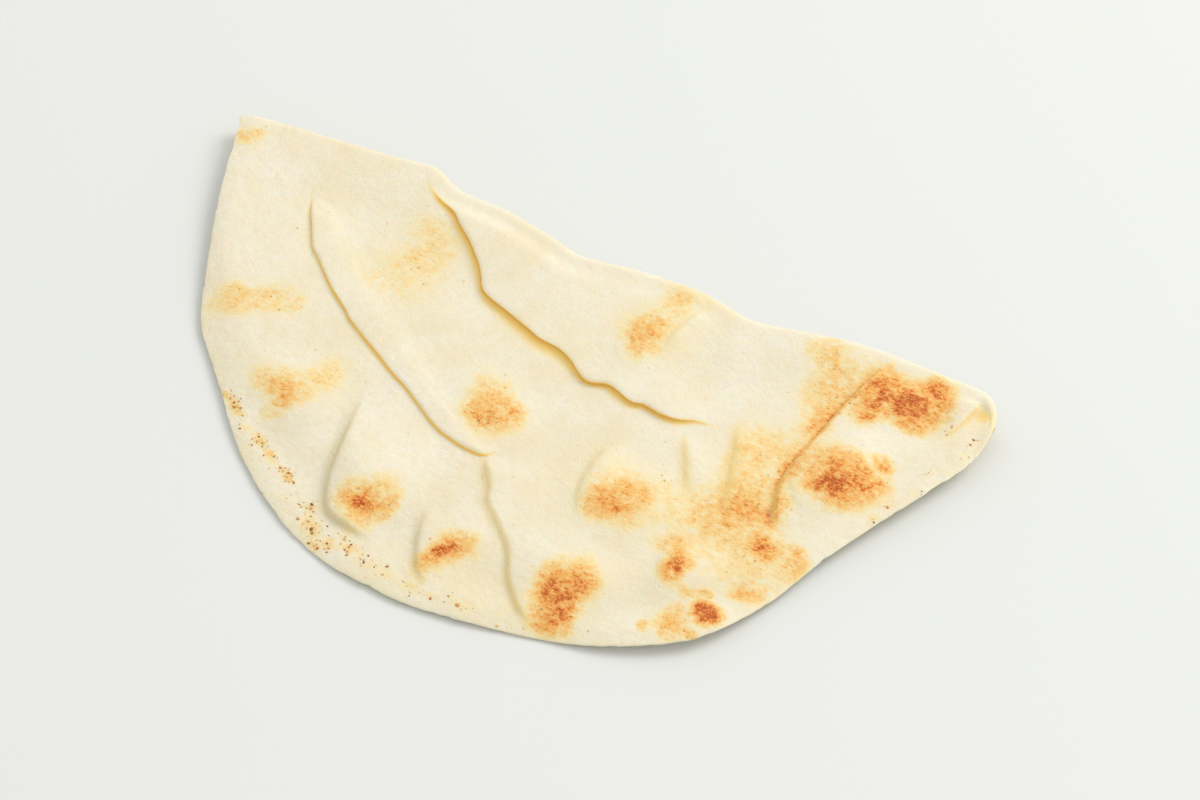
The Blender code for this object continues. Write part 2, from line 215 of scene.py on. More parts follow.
# %% Creases and blisters
# name: line along the brow in mm, height, foot, rounding of the brow, lean of the lip, reach of
# the raised side, growth at both ends. A foot is one length, or pairs of a share along the
# crease and a length there.
CREASES = {
    "long_lip": ([(-76, 82), (-71, 78.5), (-66, 75.5), (-57, 72), (-52, 68), (-44, 62),
                  (-36, 54.5), (-32, 49.5), (-27, 43.5), (-14.5, 39), (-4.5, 35.5),
                  (1, 33.5), (9, 32.5), (15.5, 30), (20.5, 26.5), (24, 24.5), (27, 24.5),
                  (31, 26), (34, 26), (37.5, 25), (43.5, 23), (48, 24), (55, 23),
                  (61, 23.5), (66.5, 26), (71.5, 27), (77, 27.5)],
                 2.5, [(0, 1), (.12, 3.0), (.28, 3.8), (.36, 3.0), (.42, 4.6), (.55, 5.6), (.64, 4.2),
                       (.69, 1.4), (.72, 2.0), (.76, 4.0), (.81, 2.8), (.84, 1.8), (.9, 3.0), (1, 1)],
                 0.4, 0.6, 26, 20, 22),
    "left_lip": ([(-112, 58), (-106.5, 49.5), (-101, 41.5), (-95.5, 33.5), (-90.5, 29.5),
                  (-79, 20), (-68, 12.5), (-63.5, 9), (-47.5, 0.5), (-37.5, -5), (-29, -9),
                  (-12.5, -18.5), (-3, -21.5), (4.5, -22.5), (9.5, -22), (13, -17.5)],
                 1.6, [(0, .5), (.1, .9), (.22, .5), (.35, 1.8), (.42, .7), (.55, 2.2), (.66, 1.5),
                       (.76, .7), (.86, 1.4), (1, .4)], 0.3, 0.3, 26, 14, 8),
    "centre_lip": ([(9, -22), (14, -27.5), (19, -34), (21.5, -39.5), (30, -47),
                    (37.5, -54), (42.5, -62.5), (50, -70.5), (58, -76)], 1.9,
                   [(0, 3.8), (.4, 4.0), (.6, 2.6), (.8, 2.2), (1, 3)], 1.1, 0.2, 22, 8, 10),
    "end_lip": ([(119, 82), (112, 60), (109, 40), (106.5, 24), (106.5, 14), (109, 4), (112.5, -5)],
                2.4, [(0, 1.2), (.7, 1.4), (.85, 2.4), (1, 2)], 0.7, 0.5, 24, 22, 10),
    "pleat": ([(144.5, 54.5), (146.5, 59.5), (148.5, 63.5), (150, 70), (152, 77)], 2.3,
              [(0, 1.4), (.6, 1.9), (1, .9)], 0.5, 0.5, 6, 14, 1.5),
    "blister_b_edge": ([(-42.5, -16.5), (-39.5, -28.5), (-35, -44), (-32, -56.5),
                        (-27, -66), (-22, -69), (-15, -70), (-6, -71)], 2.5,
                       [(0, 5), (.4, 4.5), (.62, 2.6), (.8, 2.0), (1, 3.4)], 1.6, 0, 20, 24, 14),
    "blister_c_edge": ([(3.5, -50), (7.5, -63), (12.5, -73), (20, -80)], 1.6,
                       [(0, 4), (.5, 2.8), (1, 2.6)], 1.8, 0, 14, 14, 14),
    "blister_e_edge": ([(50, 7.5), (45.5, -2.5), (45, -11.5), (46.5, -20.5), (50.5, -32.5)],
                       1.8, 3.2, 2.2, 0, 18, 12, 12),
    "blister_f_edge": ([(82, -22), (84, -34), (89, -44)], 0.8, 2.8, 2.4, 0, 10, 8, 8),
    "blister_h_edge": ([(109, 22), (110, 14), (114, 9), (121, 7)], 0.9, 2.4, 2.0, 0, 10, 8, 10),
    "fold_f": ([(65, 20), (71.5, 9.5), (76.5, 0), (80, -8)], 1.6, 3.4, 2.4, 0, 9, 10, 12),
    "fold_g": ([(79, 35), (85.5, 19.5), (91, 3), (93.5, -7)], 1.7, 3.2, 2.4, 0, 9, 14, 14),
    "fold_k": ([(49, 77), (48, 72), (45, 65), (43, 53.5), (43, 44)], 1.5, 3.2, 1.4, 0, 9, 10, 12),
    "fold_l": ([(66, 72), (61, 60), (60, 50)], 0.5, 3.6, 2.4, 0, 8, 10, 10),
    "fold_m": ([(-12, 75), (-15, 68), (-16, 60)], 0.5, 3.0, 2.0, 0, 8, 8, 8),
}

# Domes of the dough: centre in mm, half length, half width, turn in degrees, height in mm
DOMES = {
    "fold_roll": (10, 57, 84, 24, -4, 1.0),
    "panel": (-42, 24, 60, 26, -34, 0.7),
    "blister_a": (0, -3, 27, 20, -20, 1.6),
    "blister_b": (-19, -49, 31, 22, 84, 2.6),
    "blister_c": (20, -60, 25, 16, 70, 1.6),
    "blister_d": (64, -58, 26, 20, 30, 2.4),
    "blister_e": (62, -17, 27, 22, 10, 2.2),
    "blister_f": (92, -34, 19, 13, 60, 1.6),
    "blister_g": (108, -47, 12, 10, 0, 0.8),
    "blister_h": (123, 28, 24, 18, 80, 2.6),
    "blister_i": (131, 67, 24, 16, 30, 1.4),
    "blister_j": (-66, -28, 29, 20, -10, 2.0),
    "blister_k": (36, 52, 26, 17, 70, 1.8),
    "pleat_floor": (154.6, 73.5, 9.5, 6, 70, -1.7),
    "rim_lift": (104, -64, 52, 24, 42, 3.0),
}

INNER_FOOT, INNER_BROW = 3.0 * MM, 2.6 * MM      # the inner skin follows creases no sharper
FOOT_CURVE = 2.5             # how much steeper a foot gets towards its brow
END_SPREAD = 0.9             # how much more gently a crease starts and ends, per metre beside it


class CreaseLine:
    """One crease as a line in plan, ready to be measured from."""

    def __init__(self, points, height, foot, brow, lip, reach, grow, die):
        self.line = curve_through(points, LINE_SPACING) * MM
        self.tangent = directions(self.line)
        stations = foot if isinstance(foot, list) else [(0, foot), (1, foot)]
        self.foot = np.interp(np.linspace(0, 1, len(self.line)), *zip(*stations)) * MM
        self.height, self.brow, self.lip = height * MM, brow * MM, lip * MM
        self.reach, self.grow, self.die = reach * MM, grow * MM, die * MM

    def across(self, x, y):
        """Distance from the line, above zero on its raised side, and the nearest station."""
        nearest, along, beside = seen_from(self.line, self.tangent, x, y)
        beyond = np.maximum(np.abs(along) - LINE_SPACING * MM / 2, 0.0)
        return np.sign(beside) * np.hypot(beside, beyond), nearest

    def strength(self, x, y, across):
        """1 along the crease, falling to 0 past both of its ends."""
        from_start = ((x - self.line[0, 0]) * self.tangent[0, 0]
                      + (y - self.line[0, 1]) * self.tangent[0, 1])
        to_end = ((self.line[-1, 0] - x) * self.tangent[-1, 0]
                  + (self.line[-1, 1] - y) * self.tangent[-1, 1])
        spread = END_SPREAD * np.abs(across)
        return smooth(from_start / (self.grow + spread)) * smooth(to_end / (self.die + spread))

    def step(self, across, nearest, soft):
        """Height of the crease's profile at a distance across it."""
        foot, brow = self.foot[nearest], self.brow
        if soft:
            foot, brow = np.maximum(foot, INNER_FOOT), max(brow, INNER_BROW)
        share = 1 / (1 + FOOT_CURVE * brow / (2 * foot))
        climb = share * np.clip(1 + across / foot, 0.0, 1.0)**FOOT_CURVE
        rounding = 1 - (1 - share) * (1 - np.clip(across / brow, 0.0, 1.0))**2
        fall = np.exp(-(np.maximum(across, 0.0) / self.reach)**2)
        return self.height * np.where(across < 0, climb, rounding) * fall


def dome_height(dome, x, y):
    *ellipse, height = dome
    along, across = in_ellipse(*ellipse, x, y)
    return height * MM * np.maximum(1 - along**2 - across**2, 0.0)**2


crease_lines = {name: CreaseLine(*values) for name, values in CREASES.items()}
print(len(crease_lines), "creases,", len(DOMES), "domes")

# %% [markdown]
# ## Folding the flat sheet
#
# Every point of the dough has two flat coordinates: p runs along the fold and q across it,
# below zero on the lower leaf and above zero on the upper one. fold_over() says where such a
# point lies once the sheet is folded. The Simple Deform modifier can bend a sheet, but its fold
# is straight and even, and this one wanders and opens towards one end, so it is a function.

# %% The fold
def distance_inside(rim, x, y):
    """Distance to a rim drawn from the flat to the open end, above zero inside it."""
    _, along, beside = seen_from(rim, directions(rim), x, y)
    return np.sign(beside) * np.hypot(along, beside)


def lift(x):
    """How far both leaves curve up towards the ends."""
    left = np.clip((FLAT_FROM - x) / LIFT_REACH, 0.0, 1.0)
    right = np.clip((x - FLAT_TO) / LIFT_REACH, 0.0, 1.0)
    return LIFT_LEFT * left**2 + LIFT_RIGHT * right**2


def over_lower_leaf(x, y):
    """1 above the lower leaf, falling to 0 past its rim."""
    ends = [(end, fold_y(end * MM) / MM) for end in (FLAT_END, OPEN_END)]
    rim = curve_through([ends[0], *LOWER_RIM, ends[1]], LINE_SPACING) * MM
    return smooth(1 + (distance_inside(rim, x, y) + RIM_CLEAR) / DRAPE)


def relief(x, y, soft):
    """Height of all creases and blisters, crisp for the outer skin and soft for the inner."""
    height = sum(dome_height(dome, x, y) for dome in DOMES.values())
    for crease in crease_lines.values():
        across, nearest = crease.across(x, y)
        height = height + crease.strength(x, y, across) * crease.step(across, nearest, soft)
    return height


def relief_share(p, y):
    """The relief starts a little way in front of the loop, and close to it at the pleat."""
    pleat = smooth((p - PLEAT_FROM) / PLEAT_REACH)
    gap = loop_radius(p) * (2 - pleat)
    return smooth((fold_y(p) - y - gap) / (RELIEF_START * (1 - (1 - PLEAT_START) * pleat)))


def fold_over(p, q):
    """Places of the dough coordinates on the middle of the folded wall."""
    radius = loop_radius(p)
    quarter = radius * np.pi / 2
    past_loop = np.maximum(np.abs(q) - quarter, 0.0)
    turn = np.clip(q / quarter, -1.0, 1.0) * np.pi / 2
    y = fold_y(p) - radius + radius * np.cos(turn) - past_loop
    loop_z = radius * (1 + np.sin(turn))
    leaf = over_lower_leaf(p, y)
    rippled = RIM_WAVES_UP + waves(p, RIM_WAVES)
    resting = (WALL + REST_GAP) * leaf + rippled * (1 - leaf)
    sink = smooth(past_loop / loop_sink(p))
    upper_z = loop_z * (1 - sink) + resting * sink + relief(p, y, soft=True) * relief_share(p, y)
    z = np.where(q > 0, upper_z, loop_z + dome_height(LOWER_DENT, p, y))
    return np.column_stack([p, y, WALL / 2 + lift(p) + z])


def dough_q(x, y, side):
    """The dough coordinate q of a point of the plan, on the upper (1) or lower (-1) leaf."""
    radius = loop_radius(x)
    return side * (radius * np.pi / 2 + fold_y(x) - radius - y)


# %% [markdown]
# ## One sheet of triangles
#
# A regular grid would need a tiny spacing everywhere to show the sharp lips. Instead the sheet
# is a constrained Delaunay triangulation: an even triangular lattice, with extra rows of points
# close beside each crease and round the fold, inside a border that is the rim. The rim of a
# pita is torn a little by the oven's floor, so its points are moved inwards by small random
# amounts, smoothed along the rim.

# %% The flat sheet
UPPER_SPACING = 1.45 * MM    # between the points of the upper leaf
LOWER_SPACING = 2.6 * MM
LOWER_FROM = -14 * MM        # below this q the lower leaf's spacing holds
RIM_SPACING = 1.2 * MM
CREASE_SPACING = 0.9 * MM
CREASE_ROWS = (-5.0, -4.0, -3.2, -2.5, -1.9, -1.4, -1.0, -0.7, -0.45, -0.2, 0.0, 0.2, 0.45, 0.8,
               1.3, 2.0, 2.9)                    # mm from a crisp brow
CRISP_BROW = 1.0 * MM        # creases with a rounder brow get every second row
LOOP_ROWS = np.linspace(-2.4, 2.4, 21)           # rows round the loop, in quarter turns
CLEAR_SHARE = 0.5            # a point nearer than this share of its spacing is left out
ROW_HEIGHT = np.sqrt(0.75)   # of an even triangle with sides of 1
SAME_POINT = 1e-7            # closer than this, two points become one

TEAR_DEPTH = 0.55 * MM
TEAR_LENGTH = 4              # rim points over which a tear is smoothed
rng = np.random.default_rng(7)


def dough_rim(spacing):
    """The rim of the flat sheet, as a closed row of points in dough coordinates."""
    upper = curve_through(UPPER_RIM, spacing / MM) * MM
    lower = curve_through(LOWER_RIM[::-1], spacing / MM) * MM
    knots = np.vstack([
        [[FLAT_END * MM, 0.0]],
        np.column_stack([upper[:, 0], dough_q(*upper.T, 1)]),
        [[OPEN_END * MM, 0.0]],
        np.column_stack([lower[:, 0], dough_q(*lower.T, -1)]),
    ])
    return curve_through(knots, spacing, closed=True)


def torn(rim):
    """The rim with small tears, which only ever cut into the dough."""
    cuts = rng.uniform(-1.0, 1.0, len(rim))
    window = np.hanning(TEAR_LENGTH + 2)[1:-1]
    tears = np.convolve(np.concatenate([cuts, cuts, cuts]), window / window.sum(), "same")
    depth = TEAR_DEPTH * np.maximum(tears[len(rim):2 * len(rim)], 0.0)
    ahead, behind = np.roll(rim, -1, axis=0), np.roll(rim, 1, axis=0)
    tangent = (ahead - behind) / np.hypot(*(ahead - behind).T)[:, None]
    inwards = np.column_stack([tangent[:, 1], -tangent[:, 0]])
    return rim + inwards * depth[:, None]


def crease_rows():
    """Rows of points beside each crease, in dough coordinates."""
    for crease in crease_lines.values():
        line = curve_through(crease.line, CREASE_SPACING)
        left = directions(line) @ np.array([[0.0, 1.0], [-1.0, 0.0]])
        for row in CREASE_ROWS if crease.brow < CRISP_BROW else CREASE_ROWS[::2]:
            x, y = (line + left * row * MM).T
            yield np.column_stack([x, dough_q(x, y, 1)])


def loop_rows():
    """Rows of points along the loop, from its lower to its upper side."""
    p = np.arange(FLAT_END * MM, OPEN_END * MM, UPPER_SPACING)
    for row in LOOP_ROWS:
        yield np.column_stack([p, row * loop_radius(p) * np.pi / 2])


def lattice(spacing, q_from, q_to):
    """Even triangular lattice over the flat sheet between two values of q."""
    rows = []
    for index, q in enumerate(np.arange(q_from, q_to, spacing * ROW_HEIGHT)):
        start = FLAT_END * MM + spacing * (0.25, 0.75)[index % 2]
        p = np.arange(start, OPEN_END * MM, spacing)
        rows.append(np.column_stack([p, np.full(len(p), q)]))
    return np.vstack(rows)


def tree_of(points):
    tree = KDTree(len(points))
    for index, point in enumerate(points):
        tree.insert((*point, 0.0), index)
    tree.balance()
    return tree


def flat_sheet(rim):
    """Points of the flat sheet, rim first, in dough coordinates, and its triangles."""
    q_low, q_high = rim[:, 1].min(), rim[:, 1].max()
    batches = [(row, CREASE_SPACING) for row in crease_rows()]
    batches += [(row, UPPER_SPACING) for row in loop_rows()]
    batches.append((lattice(UPPER_SPACING, 0.0, q_high), UPPER_SPACING))
    batches.append((lattice(LOWER_SPACING, q_low, LOWER_FROM), LOWER_SPACING))
    points = [tuple(point) for point in rim]
    for batch, spacing in batches:
        tree = tree_of(points)
        least = CLEAR_SHARE * spacing
        points += [tuple(point) for point in batch if tree.find((*point, 0.0))[2] >= least]
    border = [(index, (index + 1) % len(rim)) for index in range(len(rim))]
    flat = [Vector(point) for point in points]
    placed, _, triangles, *_ = delaunay_2d_cdt(flat, border, [], 1, SAME_POINT)
    used, corners = np.unique(np.array(triangles), return_inverse=True)
    return np.array(placed)[used], corners.reshape(-1, 3)


rim = torn(dough_rim(RIM_SPACING))
dough, triangles = flat_sheet(rim)
print(len(rim), "rim points,", len(dough), "points,", len(triangles), "triangles in the flat sheet")

# %% [markdown]
# ## Two skins and a rim
#
# The oven's steam splits a pita into two skins, and folded it still reads as one supple wall.
# The Solidify modifier would give both of its sides the same shape. Here the outer skin needs
# crisp lips, while the inner one only follows them softly, so the wall is built by hand: the
# sheet is pushed half a wall outwards for one skin and half a wall inwards for the other, and
# rows of points round off the rim between them. Towards the rim the wall gets thinner.

# %% The folded wall
RIM_TURNS = (45, 90, 135)    # degrees round the rim, from the outer to the inner skin
RIM_DROOP = 0.45 * MM        # how far the thin rim settles
LIP_DEPTH = 2.6 * MM         # how far behind the brow a lip still leans
LIP_UNDER = 0.8 * MM         # how far down its foot


def rim_distance(points):
    tree = tree_of(rim)
    return np.array([tree.find((*point, 0.0))[2] for point in points])


def surface_normals(places):
    """Normals of the sheet's points. They point into the pocket between the leaves."""
    a, b, c = (places[triangles[:, corner]] for corner in range(3))
    faces = np.cross(b - a, c - a)
    normals = np.zeros_like(places)
    for corner in range(3):
        np.add.at(normals, triangles[:, corner], faces)
    return normals / np.linalg.norm(normals, axis=1)[:, None]


def crisp_lips(x, y):
    """How far the outer skin's points move from the soft relief to the crisp one."""
    move = np.zeros((len(x), 3))
    move[:, 2] = relief(x, y, soft=False) - relief(x, y, soft=True)
    for crease in crease_lines.values():
        across, nearest = crease.across(x, y)
        behind = np.exp(-(np.maximum(across, 0.0) / LIP_DEPTH)**2)
        under = np.exp(np.minimum(across, 0.0) / LIP_UNDER)
        lean = crease.lip * crease.strength(x, y, across) * behind * under
        tangent = crease.tangent[nearest]
        move[:, 0] += lean * tangent[:, 1]
        move[:, 1] -= lean * tangent[:, 0]
    return move * relief_share(x, y)[:, None]


dough_x, dough_depth = dough.T
middle = fold_over(dough_x, dough_depth)
on_top = dough_depth > 0
share = np.clip(rim_distance(dough) / RIM_TAPER, 0.0, 1.0)
half_wall = (RIM_WALL + (WALL - RIM_WALL) * share) / 2
middle[:, 2] -= RIM_DROOP * (1 - share)**2

normals = surface_normals(middle)
outer = middle - normals * half_wall[:, None]
inner = middle + normals * half_wall[:, None]
outer[on_top] += crisp_lips(dough_x[on_top], middle[on_top, 1])
outer[:, 2] = np.maximum(outer[:, 2], 0.0)
print("wall from", round(2 * half_wall.min() / MM, 1), "to", round(2 * half_wall.max() / MM, 1), "mm")


# %% The rounded rim
def rim_rows():
    """Rows of points that turn round the rim, from the outer to the inner skin."""
    loop = np.arange(len(rim))
    centre, half = middle[loop], half_wall[loop]
    ahead = np.roll(centre, -1, axis=0) - np.roll(centre, 1, axis=0)
    outwards = np.cross(normals[loop], ahead)
    outwards /= np.linalg.norm(outwards, axis=1)[:, None]
    for turn in np.radians(RIM_TURNS):
        yield centre + half[:, None] * (outwards * np.sin(turn) - normals[loop] * np.cos(turn))


rows = list(rim_rows())
loaf_points = np.vstack([outer, inner, *rows]) - (*CENTRE, 0.0)
count, rim_count = len(dough), len(rim)
row_starts = [0] + [2 * count + index * rim_count for index in range(len(rows))] + [count]
here = np.arange(rim_count)
there = (here + 1) % rim_count
strips = [np.column_stack([before + there, before + here, after + here, after + there])
          for before, after in zip(row_starts, row_starts[1:])]
faces = [tuple(face) for face in triangles[:, ::-1].tolist()]
faces += [tuple(face) for face in (triangles + count).tolist()]
faces += [tuple(face) for strip in strips for face in strip.tolist()]



def placed(name, data):
    """A new object in the scene."""
    made = bpy.data.objects.new(name, data)
    bpy.context.collection.objects.link(made)
    return made


loaf_mesh = bpy.data.meshes.new("folded_loaf")
loaf_mesh.from_pydata(loaf_points.tolist(), [], faces)
loaf_mesh.shade_smooth()
loaf = placed("folded_loaf", loaf_mesh)

shell = bmesh.new()
shell.from_mesh(loaf_mesh)
print(len(shell.faces), "faces,", sum(not edge.is_manifold for edge in shell.edges), "open edges,",
      round(shell.calc_volume() * 1e6, 1), "cm3")
shell.free()

# %% [markdown]
# ## Where the oven browned it
#
# A flatbread browns where a blister puffs up and touches the hot air: each blister has a toasted
# cap, darkest in the middle, while the dough between them stays pale. Specks of charred flour
# collect near the rim. None of this repeats, so the patches are a list of given ellipses.
#
# They are stored on the mesh as an attribute, a number for each point. The material then turns
# that number into stippled colour. Noise bends the ellipses first, so that no patch has a
# drawn edge.

# %% The toasted patches
# Patches on top: centre in mm, half length, half width, turn in degrees, strength
TOAST = {
    "middle": [(3, -5, 13, 12, 0, .38), (-4, 6, 9, 9, 0, .18), (9, 0, 5, 5, 0, .25),
               (2, -11, 7, 5, 0, .16), (-4, -8, 5, 5, 0, .2)],
    "blister_b": [(-16, -61, 11, 8, 0, .52), (-15, -61, 7, 4, 0, .3), (-12, -51, 7, 8, 0, .26)],
    "blister_c": [(18, -66, 11, 5.5, 65, .55), (18, -64, 6, 3.5, 65, .28), (21, -60, 9, 7, 0, .2)],
    "blister_d": [(62, -60, 10, 14, 0, .7), (64, -66, 6, 6, 0, .25), (55, -60, 5, 5, 0, .2),
                  (62, -73, 8, 5, 0, .3)],
    "blister_e": [(59, -20, 11, 10, 0, .25), (60, -23, 6, 4, 0, .3), (52, -24, 5, 7, 0, .2),
                  (64, -14, 6, 4, 0, .2), (62, -14, 22, 20, 0, .16)],
    "blister_f": [(89, -35, 5, 7, 0, .8), (84, -27, 5, 5, 0, .3)],
    "blister_g": [(108, -46, 5.5, 4, -20, 1.5)],
    "blister_h": [(121, 25, 14, 13, 0, .6), (122, 20, 6, 5, 0, .6), (133, 27, 8, 9, 0, .42),
                  (134, 38, 5, 3, 0, .45), (125, 16, 12, 5, 0, .35)],
    "blister_i": [(128, 67, 17, 11, 30, .6), (131, 66, 6, 5, 0, .55), (141, 66, 6, 11, 0, .32),
                  (136, 76, 8, 4, 0, .42), (119, 55, 5, 6, 0, .4), (118, 62, 7, 8, 0, .24),
                  (117, 72, 8, 8, 0, .35), (135, 59, 6, 5, 0, .36)],
    "blister_j": [(-70, -29, 17, 9, -10, .28), (-66, -33, 7, 6, 0, .25), (-58, -18, 9, 10, 0, .22),
                  (-65, -41, 6, 3, 0, .2)],
    "blister_k": [(34, 49, 8, 13, 0, .38), (38, 70, 7, 6, 0, .3), (35, 55, 24, 14, 0, .14),
                  (40, 77, 20, 5, 0, .14)],
    "left": [(-106, 0, 12, 8, 0, .26), (-92, 6, 12, 9, 0, .2), (-112, -8, 12, 6, 0, .15),
             (-147, 68.5, 8, 7, 0, .32), (-60, 46, 26, 30, -20, .07), (-62, 62, 10, 9, 0, .12),
             (-53, 54, 10, 11, 0, .12), (-60, 46, 9, 7, 0, .1), (-60, 34, 20, 16, 0, .09),
             (-100, 45, 18, 30, 0, .06)],
    "right": [(97, 4, 9, 10, 0, .28), (110, 3, 4, 8, 0, .48), (112, -13, 4.5, 5, 0, .55),
              (122, -9, 4, 3, 0, .36), (125, -15, 7, 6, 0, .38), (98, -3, 11, 9, 0, .2),
              (101, -14, 24, 22, 0, .23), (115, -33, 5, 4, 0, .3), (104, -38, 3, 2.5, 0, .4),
              (99, -53, 9, 6, -60, .42), (92, -60, 3, 3, 0, .4), (107, -55, 3, 2.5, 0, .4),
              (98, -41, 5, 3, 0, .3), (86, 20, 8, 22, 0, .17), (103, 60, 11, 20, 0, .3),
              (107, 44, 5, 9, 0, .42), (94, 75, 7, 9, 0, .27), (98, 24, 12, 16, 0, .25),
              (106, 18, 4, 12, 0, .35), (92, -8, 16, 12, 0, .12), (118, -28, 12, 10, 0, .1),
              (34, -74, 50, 12, 0, .08)],
}

# The same for the underside
TOAST_BELOW = [(-118, 44, 15, 9, 40, .6), (-84, 12, 12, 9, 0, .45), (-92, 58, 18, 10, 10, .5),
               (-52, 38, 13, 11, 0, .7), (-44, -8, 12, 8, -30, .6), (-14, 58, 20, 9, -8, .4),
               (-8, 20, 10, 12, 0, .75), (20, -24, 16, 8, 0, .55), (36, 46, 15, 10, 20, .65),
               (52, 4, 11, 13, 0, .8), (78, -18, 12, 7, 25, .5), (84, 36, 13, 12, 0, .6),
               (112, 10, 11, 9, 0, .75), (122, 56, 15, 10, -15, .7), (2, 72, 24, 5, 0, .3)]

WANDER = 3.0 * MM            # how far noise bends the patches
WANDER_SIZE = 9 * MM         # how far apart its bends are
WANDER_SEED = 54             # without a seed, this noise would change with each run
WANDER_SLICE = 0.37          # the height at which the noise is cut
PATCH_FALL = 1.15            # how soon a patch fades, in half lengths
PATCH_EDGE = 2.6             # how firm its edge is


def wandering(x, y, size, reach):
    """The points of the plan, moved about by smooth noise."""
    moved = np.array([noise.noise_vector((px / size, py / size, WANDER_SLICE))
                      for px, py in zip(x, y)])
    return x + reach * moved[:, 0], y + reach * moved[:, 1]


def patch_strength(patches, x, y):
    """Sum of soft ellipses at the points of the plan."""
    total = np.zeros_like(x)
    for *ellipse, strength in patches:
        outwards = np.hypot(*in_ellipse(*ellipse, x, y))
        total += strength * np.exp(-(PATCH_FALL * outwards)**PATCH_EDGE)
    return total


plan_x, plan_y = middle[:, 0], middle[:, 1]
noise.seed_set(WANDER_SEED)
bent_x, bent_y = wandering(plan_x, plan_y, WANDER_SIZE, WANDER)
toast_above = sum(patch_strength(patches, bent_x, bent_y) for patches in TOAST.values())
toast = np.where(on_top, toast_above, patch_strength(TOAST_BELOW, bent_x, bent_y))
print("toasted points:", int((toast > 0.3).sum()), "of", count)

# %% [markdown]
# ## The ochre lines in the creases: painted glow and shade
#
# Light that falls on the bread from behind shines through the raised lip, and the wall below it
# lies in shade, so the wall of each crease looks a deep ochre yellow: sharply bounded above by
# the lip's brow, and fading out downwards. Real translucency is too faint at this scale, so this
# glow and shade are painted into an attribute too. How wide the painted tint is changes along
# the crease, as the lip opens and closes.
#
# The soft folds and the blisters' edges are too thick to glow. There the dough only lies in
# shade, so a dull olive painted shade goes into a second attribute that is made in the same way.

# %% Painted glow and shade along the creases
# Share of the full painted tint for each crease: glow and shade first, olive shade second
GLOW_AND_SHADE_CREASES = {"long_lip": 1.0, "left_lip": .8, "end_lip": .9, "pleat": .48, "centre_lip": .3,
         "fold_f": .35, "fold_g": .35, "fold_k": .2, "blister_e_edge": .2}
SHADED = {"centre_lip": .35, "blister_b_edge": .5, "blister_c_edge": .4, "blister_e_edge": .1,
          "fold_f": .12, "fold_g": .12, "fold_k": .1}
# painted shade in the pleat's hollow, under the roof of the loop
PAINTED_HOLLOW_SHADE = [(156, 73.5, 6, 3, -29, .5), (153, 70, 6, 3.4, 66, .12)]    # in the pleat
TINT_SPILL = 1.5 * MM        # how far a tint runs on past a long foot
LONG_FOOT = 4 * MM
TINT_CORE = 0.8 * MM         # how deep its darkest part goes below the brow
TINT_EDGE = 0.05 * MM        # how far it runs past the brow's rounding
WASH_SHARE = 0.66            # the wide, even part of the tint; its core has the rest
WASH_TOP = 1.1               # a little above 1, so that the wash stays full near the brow
TINT_RUN = 0.5               # below 1, a tint runs on further than the crease at both ends


def crease_tint(strengths, x, y):
    """Painted glow and shade that the creases lay on the skin, strongest under their brows."""
    tint = np.zeros_like(x)
    for name, strength in strengths.items():
        crease = crease_lines[name]
        across, nearest = crease.across(x, y)
        spill = TINT_SPILL * np.minimum(crease.foot[nearest] / LONG_FOOT, 1.0)
        down = WASH_SHARE * smooth(WASH_TOP + across / (crease.foot[nearest] + spill))
        down += (1 - WASH_SHARE) * np.exp(-(across / TINT_CORE)**2)
        edge = 1 - smooth(across / (crease.brow + TINT_EDGE))
        along = crease.strength(x, y, across)**TINT_RUN
        there = strength * along * np.where(across < 0, down, edge)
        tint = np.maximum(tint, there)
    return tint


# painted glow and shade of the creases, and painted shade in the pleat's hollow
crease_glow_shade = np.maximum(crease_tint(GLOW_AND_SHADE_CREASES, plan_x, plan_y), patch_strength(PAINTED_HOLLOW_SHADE, plan_x, plan_y))
crease_glow_shade = np.where(on_top, crease_glow_shade, 0.0)
# painted shade along the soft folds and the blisters' edges
shaded = np.where(on_top, crease_tint(SHADED, plan_x, plan_y), 0.0)
print("tinted points:", int((crease_glow_shade > 0.3).sum()), "and", int((shaded > 0.3).sum()), "shaded ones")

# %% [markdown]
# ## Where the flour charred
#
# Dark specks gather in a band near the rim, in small clusters, and a few sit in the toasted
# caps. They are made later, as small flakes of crust. Here the loaf gets the density that
# they are scattered by.

